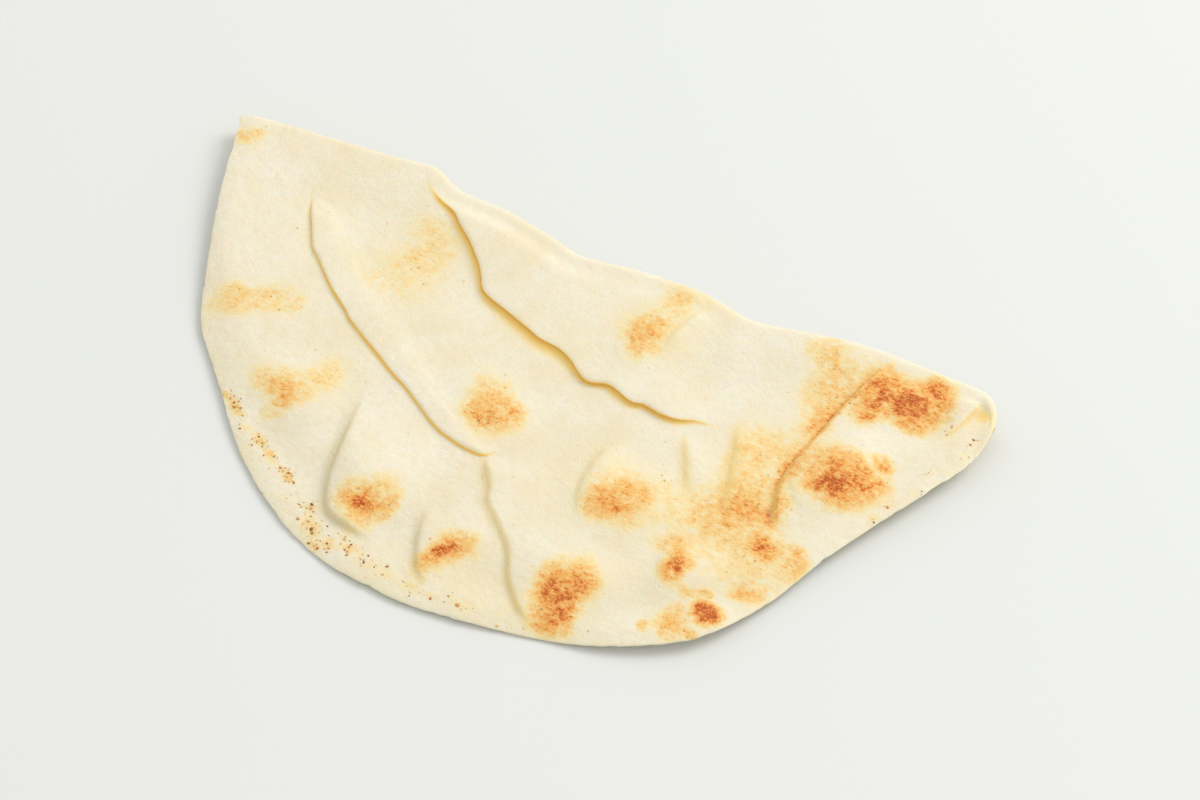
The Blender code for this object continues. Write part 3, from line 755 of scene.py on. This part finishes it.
# %% Density of the charred specks
# Clusters: centre in mm, half length, half width, turn in degrees, share of the full density
CHARRED = [(-95, -34.5, 3, 2, 0, 1.3), (-86, -40.5, 4, 2.5, -35, 1.8), (-80.5, -43, 4, 2.5, -30, 2.4),
           (-76.5, -45.5, 3, 2, 0, 2.0), (-71.5, -49.5, 3, 2, 0, 1.3), (-64.5, -52, 4, 2.5, -35, 2.4),
           (-57, -56, 5, 2.5, -35, 2.0), (-48, -60, 4, 2.5, -30, 1.6), (-45, -62, 3, 2, -20, 1.8),
           (-43, -69, 3, 2, 0, .9), (-33, -69, 5, 3, 0, 1.1), (-28, -76, 6, 4.5, -30, 1.5),
           (-23, -82, 4, 2.5, -20, 1.3), (-19, -79, 4, 3, 0, 1.1), (-15, -76, 6, 3.5, 0, 1.0),
           (-10, -78, 5, 3, 0, .9), (-4, -80, 4, 3, 0, .8), (3, -81, 5, 3, 0, .8),
           (13, -82, 6, 2.5, 0, .7), (22, -81, 5, 2.5, 0, .6), (34, -80, 6, 2.5, 0, .5),
           (147.4, 61.6, 2, 2, 0, .6), (148.6, 41.5, 1.8, 2.2, 0, .9), (147.3, 32, 3, 1.6, 60, .8),
           (142.7, 22.5, 3.5, 1.6, 62, .9), (139.6, 15.5, 3.5, 1.6, 62, .9),
           (157.6, 61.5, 4, 1.5, 80, .9), (155.8, 54.7, 2, 2, 0, .8), (148, 59, 2, 1.6, 0, .6),
           (131, 66, 5, 4, 30, .4), (120, 21, 4, 4, 0, .3), (108, -46, 4, 3, 0, .6),
           (3, -8, 8, 7, 0, .12), (108, 0, 12, 14, 0, .12), (-70, -60, 40, 5, -35, .12)]
SPARSE = 0.0003              # density share everywhere else on the outer skins
HALO = 0.14                  # how much each cluster toasts the skin round it
SCORCH = 0.7                 # how much the crease at the open end is toasted, along its brow
SCORCHED_BELOW = 2.0 * MM    # how far that reaches below the brow
SCORCHED_ABOVE = SCORCHED_BELOW / 3

clusters = patch_strength(CHARRED, plan_x, plan_y)
toast += HALO * clusters
crease = crease_lines["end_lip"]
across, _ = crease.across(plan_x, plan_y)
beside = across / np.where(across > 0, SCORCHED_ABOVE, SCORCHED_BELOW)
along_crease = crease.strength(plan_x, plan_y, across)**TINT_RUN * np.exp(-beside**2)
toast += np.where(on_top, SCORCH * along_crease, 0.0)
charred = clusters + SPARSE

# %% [markdown]
# ## Storing it all on the mesh
#
# The loaf's points are the outer skin, the inner skin and the rows round the rim. Only the
# outer skin was in the oven's heat, so the inner one gets none of the browning. Deep in the
# pocket, along the fold, the inner skin is moist and lies unlit, so it gets painted shade in
# the creases' ochre tint.

# %% Attributes of the loaf
# painted shade on the moist inner skin, which lies unlit along the fold
POCKET_PAINTED_SHADE = 0.7           # the tint of the inner skin along the fold
POCKET_DEPTH = 20 * MM


def store(name, outside, inside):
    """Write the values of both skins onto the loaf's points, blended round the rim."""
    round_rim = [(1 - turn / 180) * outside[:rim_count] + turn / 180 * inside[:rim_count]
                 for turn in RIM_TURNS]
    values = np.concatenate([outside, inside, *round_rim])
    attribute = loaf_mesh.attributes.new(name, "FLOAT", "POINT")
    attribute.data.foreach_set("value", values)


none = np.zeros(count)
pocket_painted_shade = POCKET_PAINTED_SHADE * smooth(1 - np.abs(dough_depth) / POCKET_DEPTH)
store("toast", toast, none)
store("crease_glow_shade", crease_glow_shade, pocket_painted_shade)
store("shaded", shaded, none)
store("charred", charred, none)
store("baked_side", np.ones(count), none)
print("attributes:", [name for name in loaf_mesh.attributes.keys() if not name.startswith(".")])

# %% [markdown]
# ## Helpers for node trees
#
# Both Geometry Nodes and materials are node trees, so one helper adds a node, sets its options
# and either sets or links its inputs. A second one makes a tree's named inputs.

# %% Node helpers
NUMBER, VECTOR, SHAPE = "NodeSocketFloat", "NodeSocketVector", "NodeSocketGeometry"


def feed(tree, node, inputs):
    """Inputs are given by name or number, as a value or as a socket to link."""
    for key, value in inputs.items():
        if isinstance(value, bpy.types.NodeSocket):
            tree.links.new(value, node.inputs[key])
        else:
            node.inputs[key].default_value = value


def add(tree, kind, inputs=None, **settings):
    """A new node with its settings and its inputs."""
    made = tree.nodes.new(kind)
    for name, value in settings.items():
        setattr(made, name, value)
    feed(tree, made, inputs or {})
    return made


def math(tree, operation, *values, clamp=False):
    inputs = dict(enumerate(values))
    return add(tree, "ShaderNodeMath", inputs, operation=operation, use_clamp=clamp).outputs[0]


def vector_math(tree, operation, first, second):
    """The second input is a vector too, or a number for SCALE."""
    inputs = {0: first, "Scale" if operation == "SCALE" else 1: second}
    return add(tree, "ShaderNodeVectorMath", inputs, operation=operation).outputs[0]


def stretched(tree, value, low, high, top=1.0, kind="LINEAR"):
    """The value's run from low to high, stretched to run from 0 to the top."""
    inputs = {"Value": value, "From Min": low, "From Max": high, "To Max": top}
    return add(tree, "ShaderNodeMapRange", inputs, interpolation_type=kind).outputs[0]


def random_value(tree, seed, low=0.0, high=1.0):
    inputs = {2: low, 3: high, "Seed": seed}
    return add(tree, "FunctionNodeRandomValue", inputs, data_type="FLOAT").outputs[1]


def sockets(tree, inputs, outputs):
    """Named inputs with their starting values, and named outputs."""
    for name, (kind, value) in inputs.items():
        socket = tree.interface.new_socket(name=name, in_out="INPUT", socket_type=kind)
        if value is not None:
            socket.default_value = value
    for name, kind in outputs.items():
        tree.interface.new_socket(name=name, in_out="OUTPUT", socket_type=kind)


def named(tree, name):
    """The value of an attribute, in Geometry Nodes."""
    return add(tree, "GeometryNodeInputNamedAttribute", {"Name": name},
               data_type="FLOAT").outputs["Attribute"]


def value_of(tree, name):
    """The value of an attribute, in a material."""
    return add(tree, "ShaderNodeAttribute", attribute_name=name).outputs["Fac"]


def noise_value(tree, vector, size, detail=2.0, roughness=0.5, distortion=0.0):
    """Smooth noise whose features have this size."""
    scale = math(tree, "DIVIDE", 1.0, size)
    return add(tree, "ShaderNodeTexNoise", {"Vector": vector, "Scale": scale, "Detail": detail,
               "Roughness": roughness, "Distortion": distortion}).outputs[0]


# %% [markdown]
# ## The skin's own relief
#
# Between its blisters the baked skin is never quite flat: it swells and dips by fractions of a
# millimetre. A Displace modifier could do it, but Geometry Nodes keep the swelling to the
# baked side, add two sizes of it, and hold the underside on the table, in one small tree.
#
# The modifier's inputs are set by their identifiers before anything is evaluated. The result
# is then turned into a plain mesh, and the modifier is removed.

# %% Swelling skin
swelling = bpy.data.node_groups.new("swelling_skin", "GeometryNodeTree")
sockets(swelling, {"Loaf": (SHAPE, None), "Swell Size": (NUMBER, 15 * MM),
                   "Swell Height": (NUMBER, 0.55 * MM), "Dimple Size": (NUMBER, 5.5 * MM),
                   "Dimple Height": (NUMBER, 0.22 * MM), "Table": (NUMBER, 0.0)},
        {"Loaf": SHAPE})
given = add(swelling, "NodeGroupInput").outputs
position = add(swelling, "GeometryNodeInputPosition").outputs[0]
swell = math(swelling, "SUBTRACT", noise_value(swelling, position, given["Swell Size"]), 0.5)
dimple = math(swelling, "SUBTRACT", noise_value(swelling, position, given["Dimple Size"]), 0.5)
swell = math(swelling, "MULTIPLY", swell, given["Swell Height"])
height = math(swelling, "MULTIPLY_ADD", dimple, given["Dimple Height"], swell)
height = math(swelling, "MULTIPLY", height, named(swelling, "baked_side"))
normal = add(swelling, "GeometryNodeInputNormal").outputs[0]
offset = vector_math(swelling, "SCALE", normal, height)
moved = add(swelling, "GeometryNodeSetPosition", {"Geometry": given["Loaf"], "Offset": offset})
split = add(swelling, "ShaderNodeSeparateXYZ",
            {0: add(swelling, "GeometryNodeInputPosition").outputs[0]}).outputs
held = add(swelling, "ShaderNodeCombineXYZ",
           {0: split[0], 1: split[1], 2: math(swelling, "MAXIMUM", split[2], given["Table"])})
resting = add(swelling, "GeometryNodeSetPosition",
              {"Geometry": moved.outputs[0], "Position": held.outputs[0]})
add(swelling, "NodeGroupOutput", {0: resting.outputs[0]})


def evaluated_mesh(piece, name):
    """The piece's evaluated result as a plain mesh of its own."""
    graph = bpy.context.evaluated_depsgraph_get()
    mesh = bpy.data.meshes.new_from_object(piece.evaluated_get(graph), depsgraph=graph)
    mesh.name = name
    return mesh


def with_nodes(piece, tree, values):
    """Give the piece a Geometry Nodes modifier, its inputs set by their identifiers."""
    modifier = piece.modifiers.new(tree.name, "NODES")
    modifier.node_group = tree
    for item in tree.interface.items_tree:
        if item.in_out == "INPUT" and item.name in values:
            modifier[item.identifier] = values[item.name]
    return modifier


with_nodes(loaf, swelling, {"Table": float(cad_low[2])})
loaf.data = evaluated_mesh(loaf, "folded_loaf")
loaf.modifiers.clear()
print("loaf:", len(loaf.data.polygons), "faces, after the swelling")

# %% [markdown]
# ## Charred specks
#
# The specks are flakes of burnt flour, most of them about half a millimetre across, baked onto
# the skin. Modelled one by one they would take a day. Distribute Points on Faces scatters them
# by the density that the loaf carries, and each point gets a copy of one flat, many-sided
# grain, turned and sized at random and half sunk into the skin. Large ones lie only in the
# clusters. The seeds are fixed, so each run gives the same specks.

# %% Scattering the specks
MOSTLY_SMALL = 2.6           # the higher it is, the fewer specks are large
CROWDED = 8.0                # specks grow to full size from an eighth of the full density on
LEAST_WIDTH = 0.5            # of a speck's length
FULL_TURN = 6.283            # radians
OVAL_SEED, TWIST_SEED, SHADE_SEED = 21, 34, 55

scatter = bpy.data.node_groups.new("charred_specks", "GeometryNodeTree")
sockets(scatter, {"Loaf": (SHAPE, None), "Full Density": (NUMBER, 2.6e5),
                  "Least Size": (NUMBER, 0.2 * MM), "Greatest Size": (NUMBER, 0.9 * MM),
                  "Flatness": (NUMBER, 0.14), "Lump Size": (NUMBER, 0.5 * MM),
                  "Lump Height": (NUMBER, 0.6 * MM), "Seed": ("NodeSocketInt", 5),
                  "Crust": ("NodeSocketMaterial", None)}, {"Specks": SHAPE})
given = add(scatter, "NodeGroupInput").outputs
density = math(scatter, "MULTIPLY", named(scatter, "charred"), given["Full Density"])
spread = add(scatter, "GeometryNodeDistributePointsOnFaces",
             {"Mesh": given["Loaf"], "Density": density, "Seed": given["Seed"]})
rare = math(scatter, "POWER", random_value(scatter, given["Seed"]), MOSTLY_SMALL)
crowded = math(scatter, "MULTIPLY", named(scatter, "charred"), CROWDED, clamp=True)
span = math(scatter, "SUBTRACT", given["Greatest Size"], given["Least Size"])
span = math(scatter, "MULTIPLY", span, crowded)
size = math(scatter, "MULTIPLY_ADD", rare, span, given["Least Size"])
width = math(scatter, "MULTIPLY", size, random_value(scatter, OVAL_SEED, LEAST_WIDTH))
thickness = math(scatter, "MULTIPLY", size, given["Flatness"])
shape = add(scatter, "ShaderNodeCombineXYZ", {0: size, 1: width, 2: thickness})
twist = add(scatter, "ShaderNodeCombineXYZ", {2: random_value(scatter, TWIST_SEED, 0.0, FULL_TURN)})
turned = add(scatter, "FunctionNodeRotateRotation", {
    0: spread.outputs["Rotation"], 1: twist.outputs[0]}, rotation_space="LOCAL")
grain = add(scatter, "GeometryNodeMeshIcoSphere", {"Radius": 1.0, "Subdivisions": 1})
specks = add(scatter, "GeometryNodeInstanceOnPoints", {
    "Points": spread.outputs["Points"], "Instance": grain.outputs["Mesh"],
    "Rotation": turned.outputs[0], "Scale": shape.outputs[0]})
toned = add(scatter, "GeometryNodeStoreNamedAttribute", {
    "Geometry": specks.outputs[0], "Name": "burnt", "Value": random_value(scatter, SHADE_SEED)},
    data_type="FLOAT", domain="INSTANCE")
real = add(scatter, "GeometryNodeRealizeInstances", {0: toned.outputs[0]})
place = add(scatter, "GeometryNodeInputPosition").outputs[0]
lumps = add(scatter, "ShaderNodeTexNoise", {
    "Vector": place, "Scale": math(scatter, "DIVIDE", 1.0, given["Lump Size"]), "Detail": 1.0})
centred = vector_math(scatter, "SUBTRACT", lumps.outputs["Color"], (0.5, 0.5, 0.5))
reach = vector_math(scatter, "SCALE", centred, given["Lump Height"])
uneven = add(scatter, "GeometryNodeSetPosition", {"Geometry": real.outputs[0], "Offset": reach})
crusted = add(scatter, "GeometryNodeSetMaterial",
              {"Geometry": uneven.outputs[0], "Material": given["Crust"]})
add(scatter, "NodeGroupOutput", {0: crusted.outputs[0]})
print("scatter tree:", len(scatter.nodes), "nodes")

# %% [markdown]
# ## Colours
#
# The colours are written as they show on a screen, from 0 to 255, and one function turns them
# into the linear values that the shader expects. A toasted pita goes from cream through
# straw and orange to rust, and never straight to brown.

# %% Dough colours
def paint(red, green, blue):
    """A colour as it shows on a screen, in the renderer's linear values."""
    share = np.array([red, green, blue]) / 255
    linear = np.where(share <= 0.04045, share / 12.92, ((share + 0.055) / 1.055)**2.4)
    return (*linear.tolist(), 1.0)


CREAM, STRAW_CREAM = paint(237, 230, 209), paint(234, 221, 187)
# painted shade of the soft folds and the blisters' edges
PAINTED_SHADE_OLIVE = paint(204, 182, 110)
# painted glow and shade in the creases, darkest just under the brow
GLOW_SHADE_TONES = [(0.0, paint(250, 226, 160)), (0.55, paint(249, 211, 120)),
               (0.8, paint(234, 190, 98)), (1.0, paint(212, 164, 78))]
UNDER_STIPPLE = [(0.0, paint(238, 228, 201)), (0.15, paint(240, 222, 173)),
                 (0.35, paint(241, 204, 134)), (0.65, paint(240, 182, 98)),
                 (1.0, paint(234, 152, 70))]
STIPPLE = [(0.0, paint(240, 208, 134)), (0.35, paint(234, 166, 86)),
           (0.7, paint(222, 124, 52)), (1.0, paint(188, 84, 32))]
FRECKLES = [(0.0, paint(236, 204, 132)), (0.5, paint(208, 154, 80)), (1.0, paint(154, 98, 46))]
CHAR = [(0.0, paint(232, 176, 104)), (0.5, paint(206, 136, 70)), (1.0, paint(150, 98, 50))]


def ramp(tree, value, stops):
    """Colour Ramp node with the given stops."""
    made = add(tree, "ShaderNodeValToRGB", {0: value})
    elements = made.color_ramp.elements
    elements[0].position, elements[0].color = stops[0]
    elements[1].position, elements[1].color = stops[-1]
    for place, colour in stops[1:-1]:
        elements.new(place).color = colour
    return made.outputs[0]


def mixed(tree, share, first, second):
    """The first colour at a share of 0, the second at 1."""
    made = add(tree, "ShaderNodeMix", {0: share, 6: first, 7: second}, data_type="RGBA")
    return made.outputs[2]


# %% [markdown]
# ## Oven stipple, a node group
#
# Seen closely, toasting isn't a wash of brown. It is a stipple: fine rust-coloured grains that
# stand apart on a pale patch and run together in its middle. Both the dough and the specks
# use it, so it is a node group, built once. It turns how toasted a place is into a smooth
# browning, a mask for the grains and a height for the bump.

# %% The stipple group
GRAIN_STRETCH = (0.6, 1.0, 1.0)      # the grains are longer along the fold
DUST_SIZE = 2.4                      # of the finer unevenness, in grain sizes
BLOTCH_SHARE, DUST_SHARE = 2.0, 1.8  # how uneven each makes the browning
EVENLY = -0.9                        # brings the sum of both back to about 1
BARE, BROWNED = 0.68, -0.22          # the noise has to pass this to be a grain, less where brown
GRAIN_FROM, GRAIN_TO = -0.1, 0.13    # the soft edge of a grain
GRAINS_FULL = 4.0                    # how soon the browning brings out the grains

stipple = bpy.data.node_groups.new("oven_stipple", "ShaderNodeTree")
sockets(stipple, {"Vector": (VECTOR, None), "Toast": (NUMBER, 0.0),
                  "Blotch Size": (NUMBER, 3.6 * MM), "Grain Size": (NUMBER, 0.75 * MM)},
        {"Browning": NUMBER, "Grains": NUMBER, "Height": NUMBER})
given = add(stipple, "NodeGroupInput").outputs
blotch = noise_value(stipple, given["Vector"], given["Blotch Size"], detail=3.0, roughness=0.6)
drawn_out = vector_math(stipple, "MULTIPLY", given["Vector"], GRAIN_STRETCH)
fine = noise_value(stipple, drawn_out, given["Grain Size"], detail=2.5, roughness=0.6,
                   distortion=0.7)
dust_size = math(stipple, "MULTIPLY", given["Grain Size"], DUST_SIZE)
dust = noise_value(stipple, drawn_out, dust_size, detail=3.0, roughness=0.65)
uneven = math(stipple, "MULTIPLY_ADD", blotch, BLOTCH_SHARE, EVENLY)
uneven = math(stipple, "MULTIPLY_ADD", dust, DUST_SHARE, uneven)
browning = math(stipple, "MULTIPLY", given["Toast"], uneven, clamp=True)
level = math(stipple, "MULTIPLY_ADD", browning, BROWNED, BARE)
above = math(stipple, "SUBTRACT", fine, level)
grains = stretched(stipple, above, GRAIN_FROM, GRAIN_TO, kind="SMOOTHSTEP")
brought_out = math(stipple, "MULTIPLY", browning, GRAINS_FULL, clamp=True)
shown = math(stipple, "MULTIPLY", grains, brought_out)
add(stipple, "NodeGroupOutput", {0: browning, 1: shown, 2: fine})
print("stipple group:", [item.name for item in stipple.interface.items_tree])

# %% [markdown]
# ## Freckles, a node group
#
# Away from the toasted caps the skin is freckled: single soft dots, a millimetre across, few on
# the pale dough and many where flour charred. A Voronoi texture gives one random dot for each
# of its cells. Each cell also has a random colour, and its channels decide whether the dot is
# there, how large it is and how dark.

# %% The freckle group
RAG_SIZE, RAG_REACH = 0.9 * MM, 0.8 * MM     # noise that makes the dots ragged
DOT_LEAST, DOT_MORE = 0.12, 0.26             # radius of a dot, in cells, and its random part
DOT_EDGE = 0.5                               # share of the radius that is soft
DARK_POWER = 0.35                            # dots are darker where there are many
SEEN_LEAST, SEEN_MORE = 0.4, 0.5             # how much a dot covers, and its random part

freckle = bpy.data.node_groups.new("scorched_freckles", "ShaderNodeTree")
sockets(freckle, {"Vector": (VECTOR, None), "Chance": (NUMBER, 0.03),
                  "Cell Size": (NUMBER, 2.0 * MM)}, {"Mask": NUMBER, "Darkness": NUMBER})
given = add(freckle, "NodeGroupInput").outputs
scale = math(freckle, "DIVIDE", 1.0, given["Cell Size"])
ragged = add(freckle, "ShaderNodeTexNoise", {"Vector": given["Vector"], "Scale": 1 / RAG_SIZE,
             "Detail": 2.0}).outputs["Color"]
ragged = vector_math(freckle, "SCALE", ragged, RAG_REACH)
bent = vector_math(freckle, "ADD", given["Vector"], ragged)
cells = add(freckle, "ShaderNodeTexVoronoi", {"Vector": bent, "Scale": scale}).outputs
luck = add(freckle, "ShaderNodeSeparateColor", {0: cells["Color"]}).outputs
there = math(freckle, "LESS_THAN", luck[0], given["Chance"])
radius = math(freckle, "MULTIPLY_ADD", luck[1], DOT_MORE, DOT_LEAST)
outwards = math(freckle, "DIVIDE", cells["Distance"], radius)
dot = math(freckle, "SUBTRACT", 1.0, outwards, clamp=True)
dot = stretched(freckle, dot, 0.0, DOT_EDGE, kind="SMOOTHSTEP")
many = math(freckle, "POWER", given["Chance"], DARK_POWER)
darkness = math(freckle, "MULTIPLY", luck[2], many)
seen = math(freckle, "MULTIPLY_ADD", luck[2], SEEN_MORE, SEEN_LEAST)
mask = math(freckle, "MULTIPLY", math(freckle, "MULTIPLY", dot, there), seen)
add(freckle, "NodeGroupOutput", {0: mask, 1: darkness})
print("freckle group:", [item.name for item in freckle.interface.items_tree])

# %% [markdown]
# ## Baked dough
#
# The dough's material stacks its colours: cream dough with faint straw mottling, the browning
# with its stipple, the freckles, and over them the painted olive shade of the soft folds and
# the painted glow and shade in the creases. Light goes a little way into dough, so a constant
# share of subsurface scattering softens its shadows. Bump is only for grain too fine for the mesh.

# %% The dough's material
MOTTLE_SIZE, FLOUR_SIZE = 26 * MM, 2.2 * MM          # pale clouds, and a dusting within them
MOTTLE_FROM, MOTTLE_TO = 0.38, 0.68
FLOUR_FROM, FLOUR_TO, FLOUR_TOP = 0.45, 0.75, 0.75
FRECKLED = 0.02              # chance of a freckle on pale dough
FRECKLED_CHAR, FRECKLED_TOAST = 1.05, 0.6            # how much char and toast add to it
TOAST_COVER, GLOW_SHADE_COVER = 6.0, 1.6                  # how soon each covers the dough below it
ROUGHNESS, TOAST_GLOSS = 0.86, -0.18
PORE_SIZE, WRINKLE_SIZE = 0.9 * MM, 3.2 * MM
WRINKLE_SHARE, GRAIN_SHARE = 2.2, -0.25              # of the bump, beside the pores
SCATTER_DEPTH = 1.8 * MM


def new_finish(name):
    """A material, its node tree and its shader."""
    made = bpy.data.materials.new(name)
    made.use_nodes = True
    return made, made.node_tree, made.node_tree.nodes["Principled BSDF"]


def own_place(tree):
    """Place on the object, in its own coordinates."""
    return add(tree, "ShaderNodeTexCoord").outputs["Object"]


dough_finish, tree, shader = new_finish("baked_dough")
place = own_place(tree)
toasted = add(tree, "ShaderNodeGroup", {"Vector": place, "Toast": value_of(tree, "toast")},
              node_tree=stipple).outputs
chance = math(tree, "MULTIPLY_ADD", value_of(tree, "charred"), FRECKLED_CHAR, FRECKLED)
chance = math(tree, "MULTIPLY_ADD", value_of(tree, "toast"), FRECKLED_TOAST, chance)
chance = math(tree, "MULTIPLY", chance, value_of(tree, "baked_side"))
freckles = add(tree, "ShaderNodeGroup", {"Vector": place, "Chance": chance},
               node_tree=freckle).outputs
mottle = noise_value(tree, place, MOTTLE_SIZE, detail=4.0, roughness=0.65)
mottle = stretched(tree, mottle, MOTTLE_FROM, MOTTLE_TO)
flour = noise_value(tree, place, FLOUR_SIZE, detail=3.0, roughness=0.6)
flour = stretched(tree, flour, FLOUR_FROM, FLOUR_TO, FLOUR_TOP)
pale = mixed(tree, mottle, CREAM, STRAW_CREAM)
pale = mixed(tree, flour, pale, STRAW_CREAM)
washed = ramp(tree, toasted["Browning"], UNDER_STIPPLE)
spotted = mixed(tree, toasted["Grains"], washed, ramp(tree, toasted["Browning"], STIPPLE))
how_toasted = math(tree, "MULTIPLY", toasted["Browning"], TOAST_COVER, clamp=True)
colour = mixed(tree, how_toasted, pale, spotted)
colour = mixed(tree, freckles["Mask"], colour, ramp(tree, freckles["Darkness"], FRECKLES))
# painted olive shade of the soft folds and the blisters' edges
colour = mixed(tree, value_of(tree, "shaded"), colour, PAINTED_SHADE_OLIVE)
# the painted glow and shade of the creases
tinted = value_of(tree, "crease_glow_shade")
covering = math(tree, "MULTIPLY", tinted, GLOW_SHADE_COVER, clamp=True)
colour = mixed(tree, covering, colour, ramp(tree, tinted, GLOW_SHADE_TONES))
rough = math(tree, "MULTIPLY_ADD", toasted["Browning"], TOAST_GLOSS, ROUGHNESS)

pores = noise_value(tree, place, PORE_SIZE, detail=3.0, roughness=0.6)
wrinkles = noise_value(tree, place, WRINKLE_SIZE, detail=3.0, roughness=0.55)
relief_height = math(tree, "MULTIPLY_ADD", wrinkles, WRINKLE_SHARE, pores)
relief_height = math(tree, "MULTIPLY_ADD", toasted["Grains"], GRAIN_SHARE, relief_height)
bump = add(tree, "ShaderNodeBump", {"Strength": 0.8, "Distance": 0.28 * MM,
           "Height": relief_height})
feed(tree, shader, {
    "Base Color": colour, "Roughness": rough, "Normal": bump.outputs[0],
    "Specular IOR Level": 0.3, "Subsurface Weight": 0.5,
    "Subsurface Radius": (1.0, 0.65, 0.35), "Subsurface Scale": SCATTER_DEPTH})
loaf.data.materials.append(dough_finish)
print("dough:", len(tree.nodes), "nodes")

# %% [markdown]
# ## Charred crust
#
# The specks take the same stipple group, at a finer grain, over a ramp that runs from ochre to
# brown. Each speck carries a random number that picks its place on the ramp.

# %% The specks' material and mesh
GRAIN_COVER = 0.3            # how much the stipple darkens a speck
GRAIN_FACES = 20             # of one speck

crust_finish, tree, shader = new_finish("charred_crust")
place = own_place(tree)
burnt = value_of(tree, "burnt")
grainy = add(tree, "ShaderNodeGroup", {"Vector": place, "Toast": burnt,
             "Blotch Size": 1.2 * MM, "Grain Size": 0.3 * MM}, node_tree=stipple).outputs
covering = math(tree, "MULTIPLY", grainy["Grains"], GRAIN_COVER)
bump = add(tree, "ShaderNodeBump", {"Strength": 0.4, "Distance": 0.05 * MM,
           "Height": grainy["Height"]})
feed(tree, shader, {
    "Base Color": mixed(tree, covering, ramp(tree, burnt, CHAR), CHAR[2][1]),
    "Roughness": math(tree, "MULTIPLY_ADD", grainy["Height"], 0.3, 0.65),
    "Normal": bump.outputs[0], "Specular IOR Level": 0.1})

flecks = placed("charred_specks", loaf.data)
with_nodes(flecks, scatter, {"Crust": crust_finish})
flecks.data = evaluated_mesh(flecks, "charred_specks")
flecks.modifiers.clear()
flecks.data.shade_smooth()
print("specks:", len(flecks.data.polygons) // GRAIN_FACES, "of", GRAIN_FACES, "faces each")

# %% [markdown]
# ## Table, light and camera
#
# The bread lies on a plain pale table. One broad lamp stands behind it on the right, so that the
# blisters and the creases' walls turn their shaded sides to the camera, and an even white sky
# fills the shadows.

# %% Table
TABLE_SIZE = 4.0             # metres
TABLE_GAP = 0.2 * MM         # keeps the table just clear of the underside
CLOUD_SIZE = 0.35            # of its faint clouds, in metres
table_mesh = bpy.data.meshes.new("table")
shell = bmesh.new()
bmesh.ops.create_grid(shell, x_segments=1, y_segments=1, size=TABLE_SIZE / 2)
bmesh.ops.translate(shell, verts=shell.verts, vec=(0, 0, cad_low[2] - TABLE_GAP))
shell.to_mesh(table_mesh)
shell.free()
table = placed("table", table_mesh)
table_finish, tree, shader = new_finish("pale_table")
cloudy = noise_value(tree, own_place(tree), CLOUD_SIZE)
feed(tree, shader, {"Roughness": 0.7, "Base Color": mixed(
    tree, cloudy, paint(225, 227, 222), paint(228, 229, 224))})
table_mesh.materials.append(table_finish)

# %% Light
LAMP_SIDE, LAMP_BEHIND, LAMP_UP = 2.15, 1.1, 2.1     # metres, as the camera sees it
LAMP_SIZE, LAMP_POWER = 1.6, 48.0                    # metres and watts
SKY_STRENGTH = 0.81
# The camera's right and its way forwards, level with the table
RIGHT, AWAY = Vector((0.881, 0.4735, 0.0)), Vector((-0.4735, 0.881, 0.0))

lamp_data = bpy.data.lights.new("window_lamp", "AREA")
lamp_data.shape = "SQUARE"
lamp_data.size = LAMP_SIZE
lamp_data.energy = LAMP_POWER
lamp = placed("window_lamp", lamp_data)
lamp.location = RIGHT * LAMP_SIDE + AWAY * LAMP_BEHIND + Vector((0, 0, LAMP_UP))
lamp.rotation_euler = (-lamp.location).to_track_quat("-Z", "Y").to_euler()

sky = bpy.data.worlds.new("soft_sky")
sky.use_nodes = True
feed(sky.node_tree, sky.node_tree.nodes["Background"],
     {"Color": (1.0, 1.0, 1.0, 1.0), "Strength": SKY_STRENGTH})
bpy.context.scene.world = sky
bpy.context.scene.view_settings.view_transform = "Standard"

# %% Camera
LOOK_AT = Vector((28.8, 20.7, 0.0)) * MM
CAMERA_AT = Vector((300.3, -484.3, 677.5)) * MM

camera_data = bpy.data.cameras.new("camera")
camera_data.lens = 75.0
camera_data.sensor_width = 36.0
camera = placed("camera", camera_data)
camera.location = CAMERA_AT
camera.rotation_euler = (LOOK_AT - CAMERA_AT).to_track_quat("-Z", "Y").to_euler()
bpy.context.scene.camera = camera
print("camera looks down at", round(np.degrees(np.arctan2(
    CAMERA_AT.z, (LOOK_AT - CAMERA_AT).xy.length)), 1), "degrees")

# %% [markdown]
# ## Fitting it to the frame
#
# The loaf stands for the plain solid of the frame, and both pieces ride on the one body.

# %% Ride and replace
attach(loaf, "root")
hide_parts("pita_bread")
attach(flecks, "root")
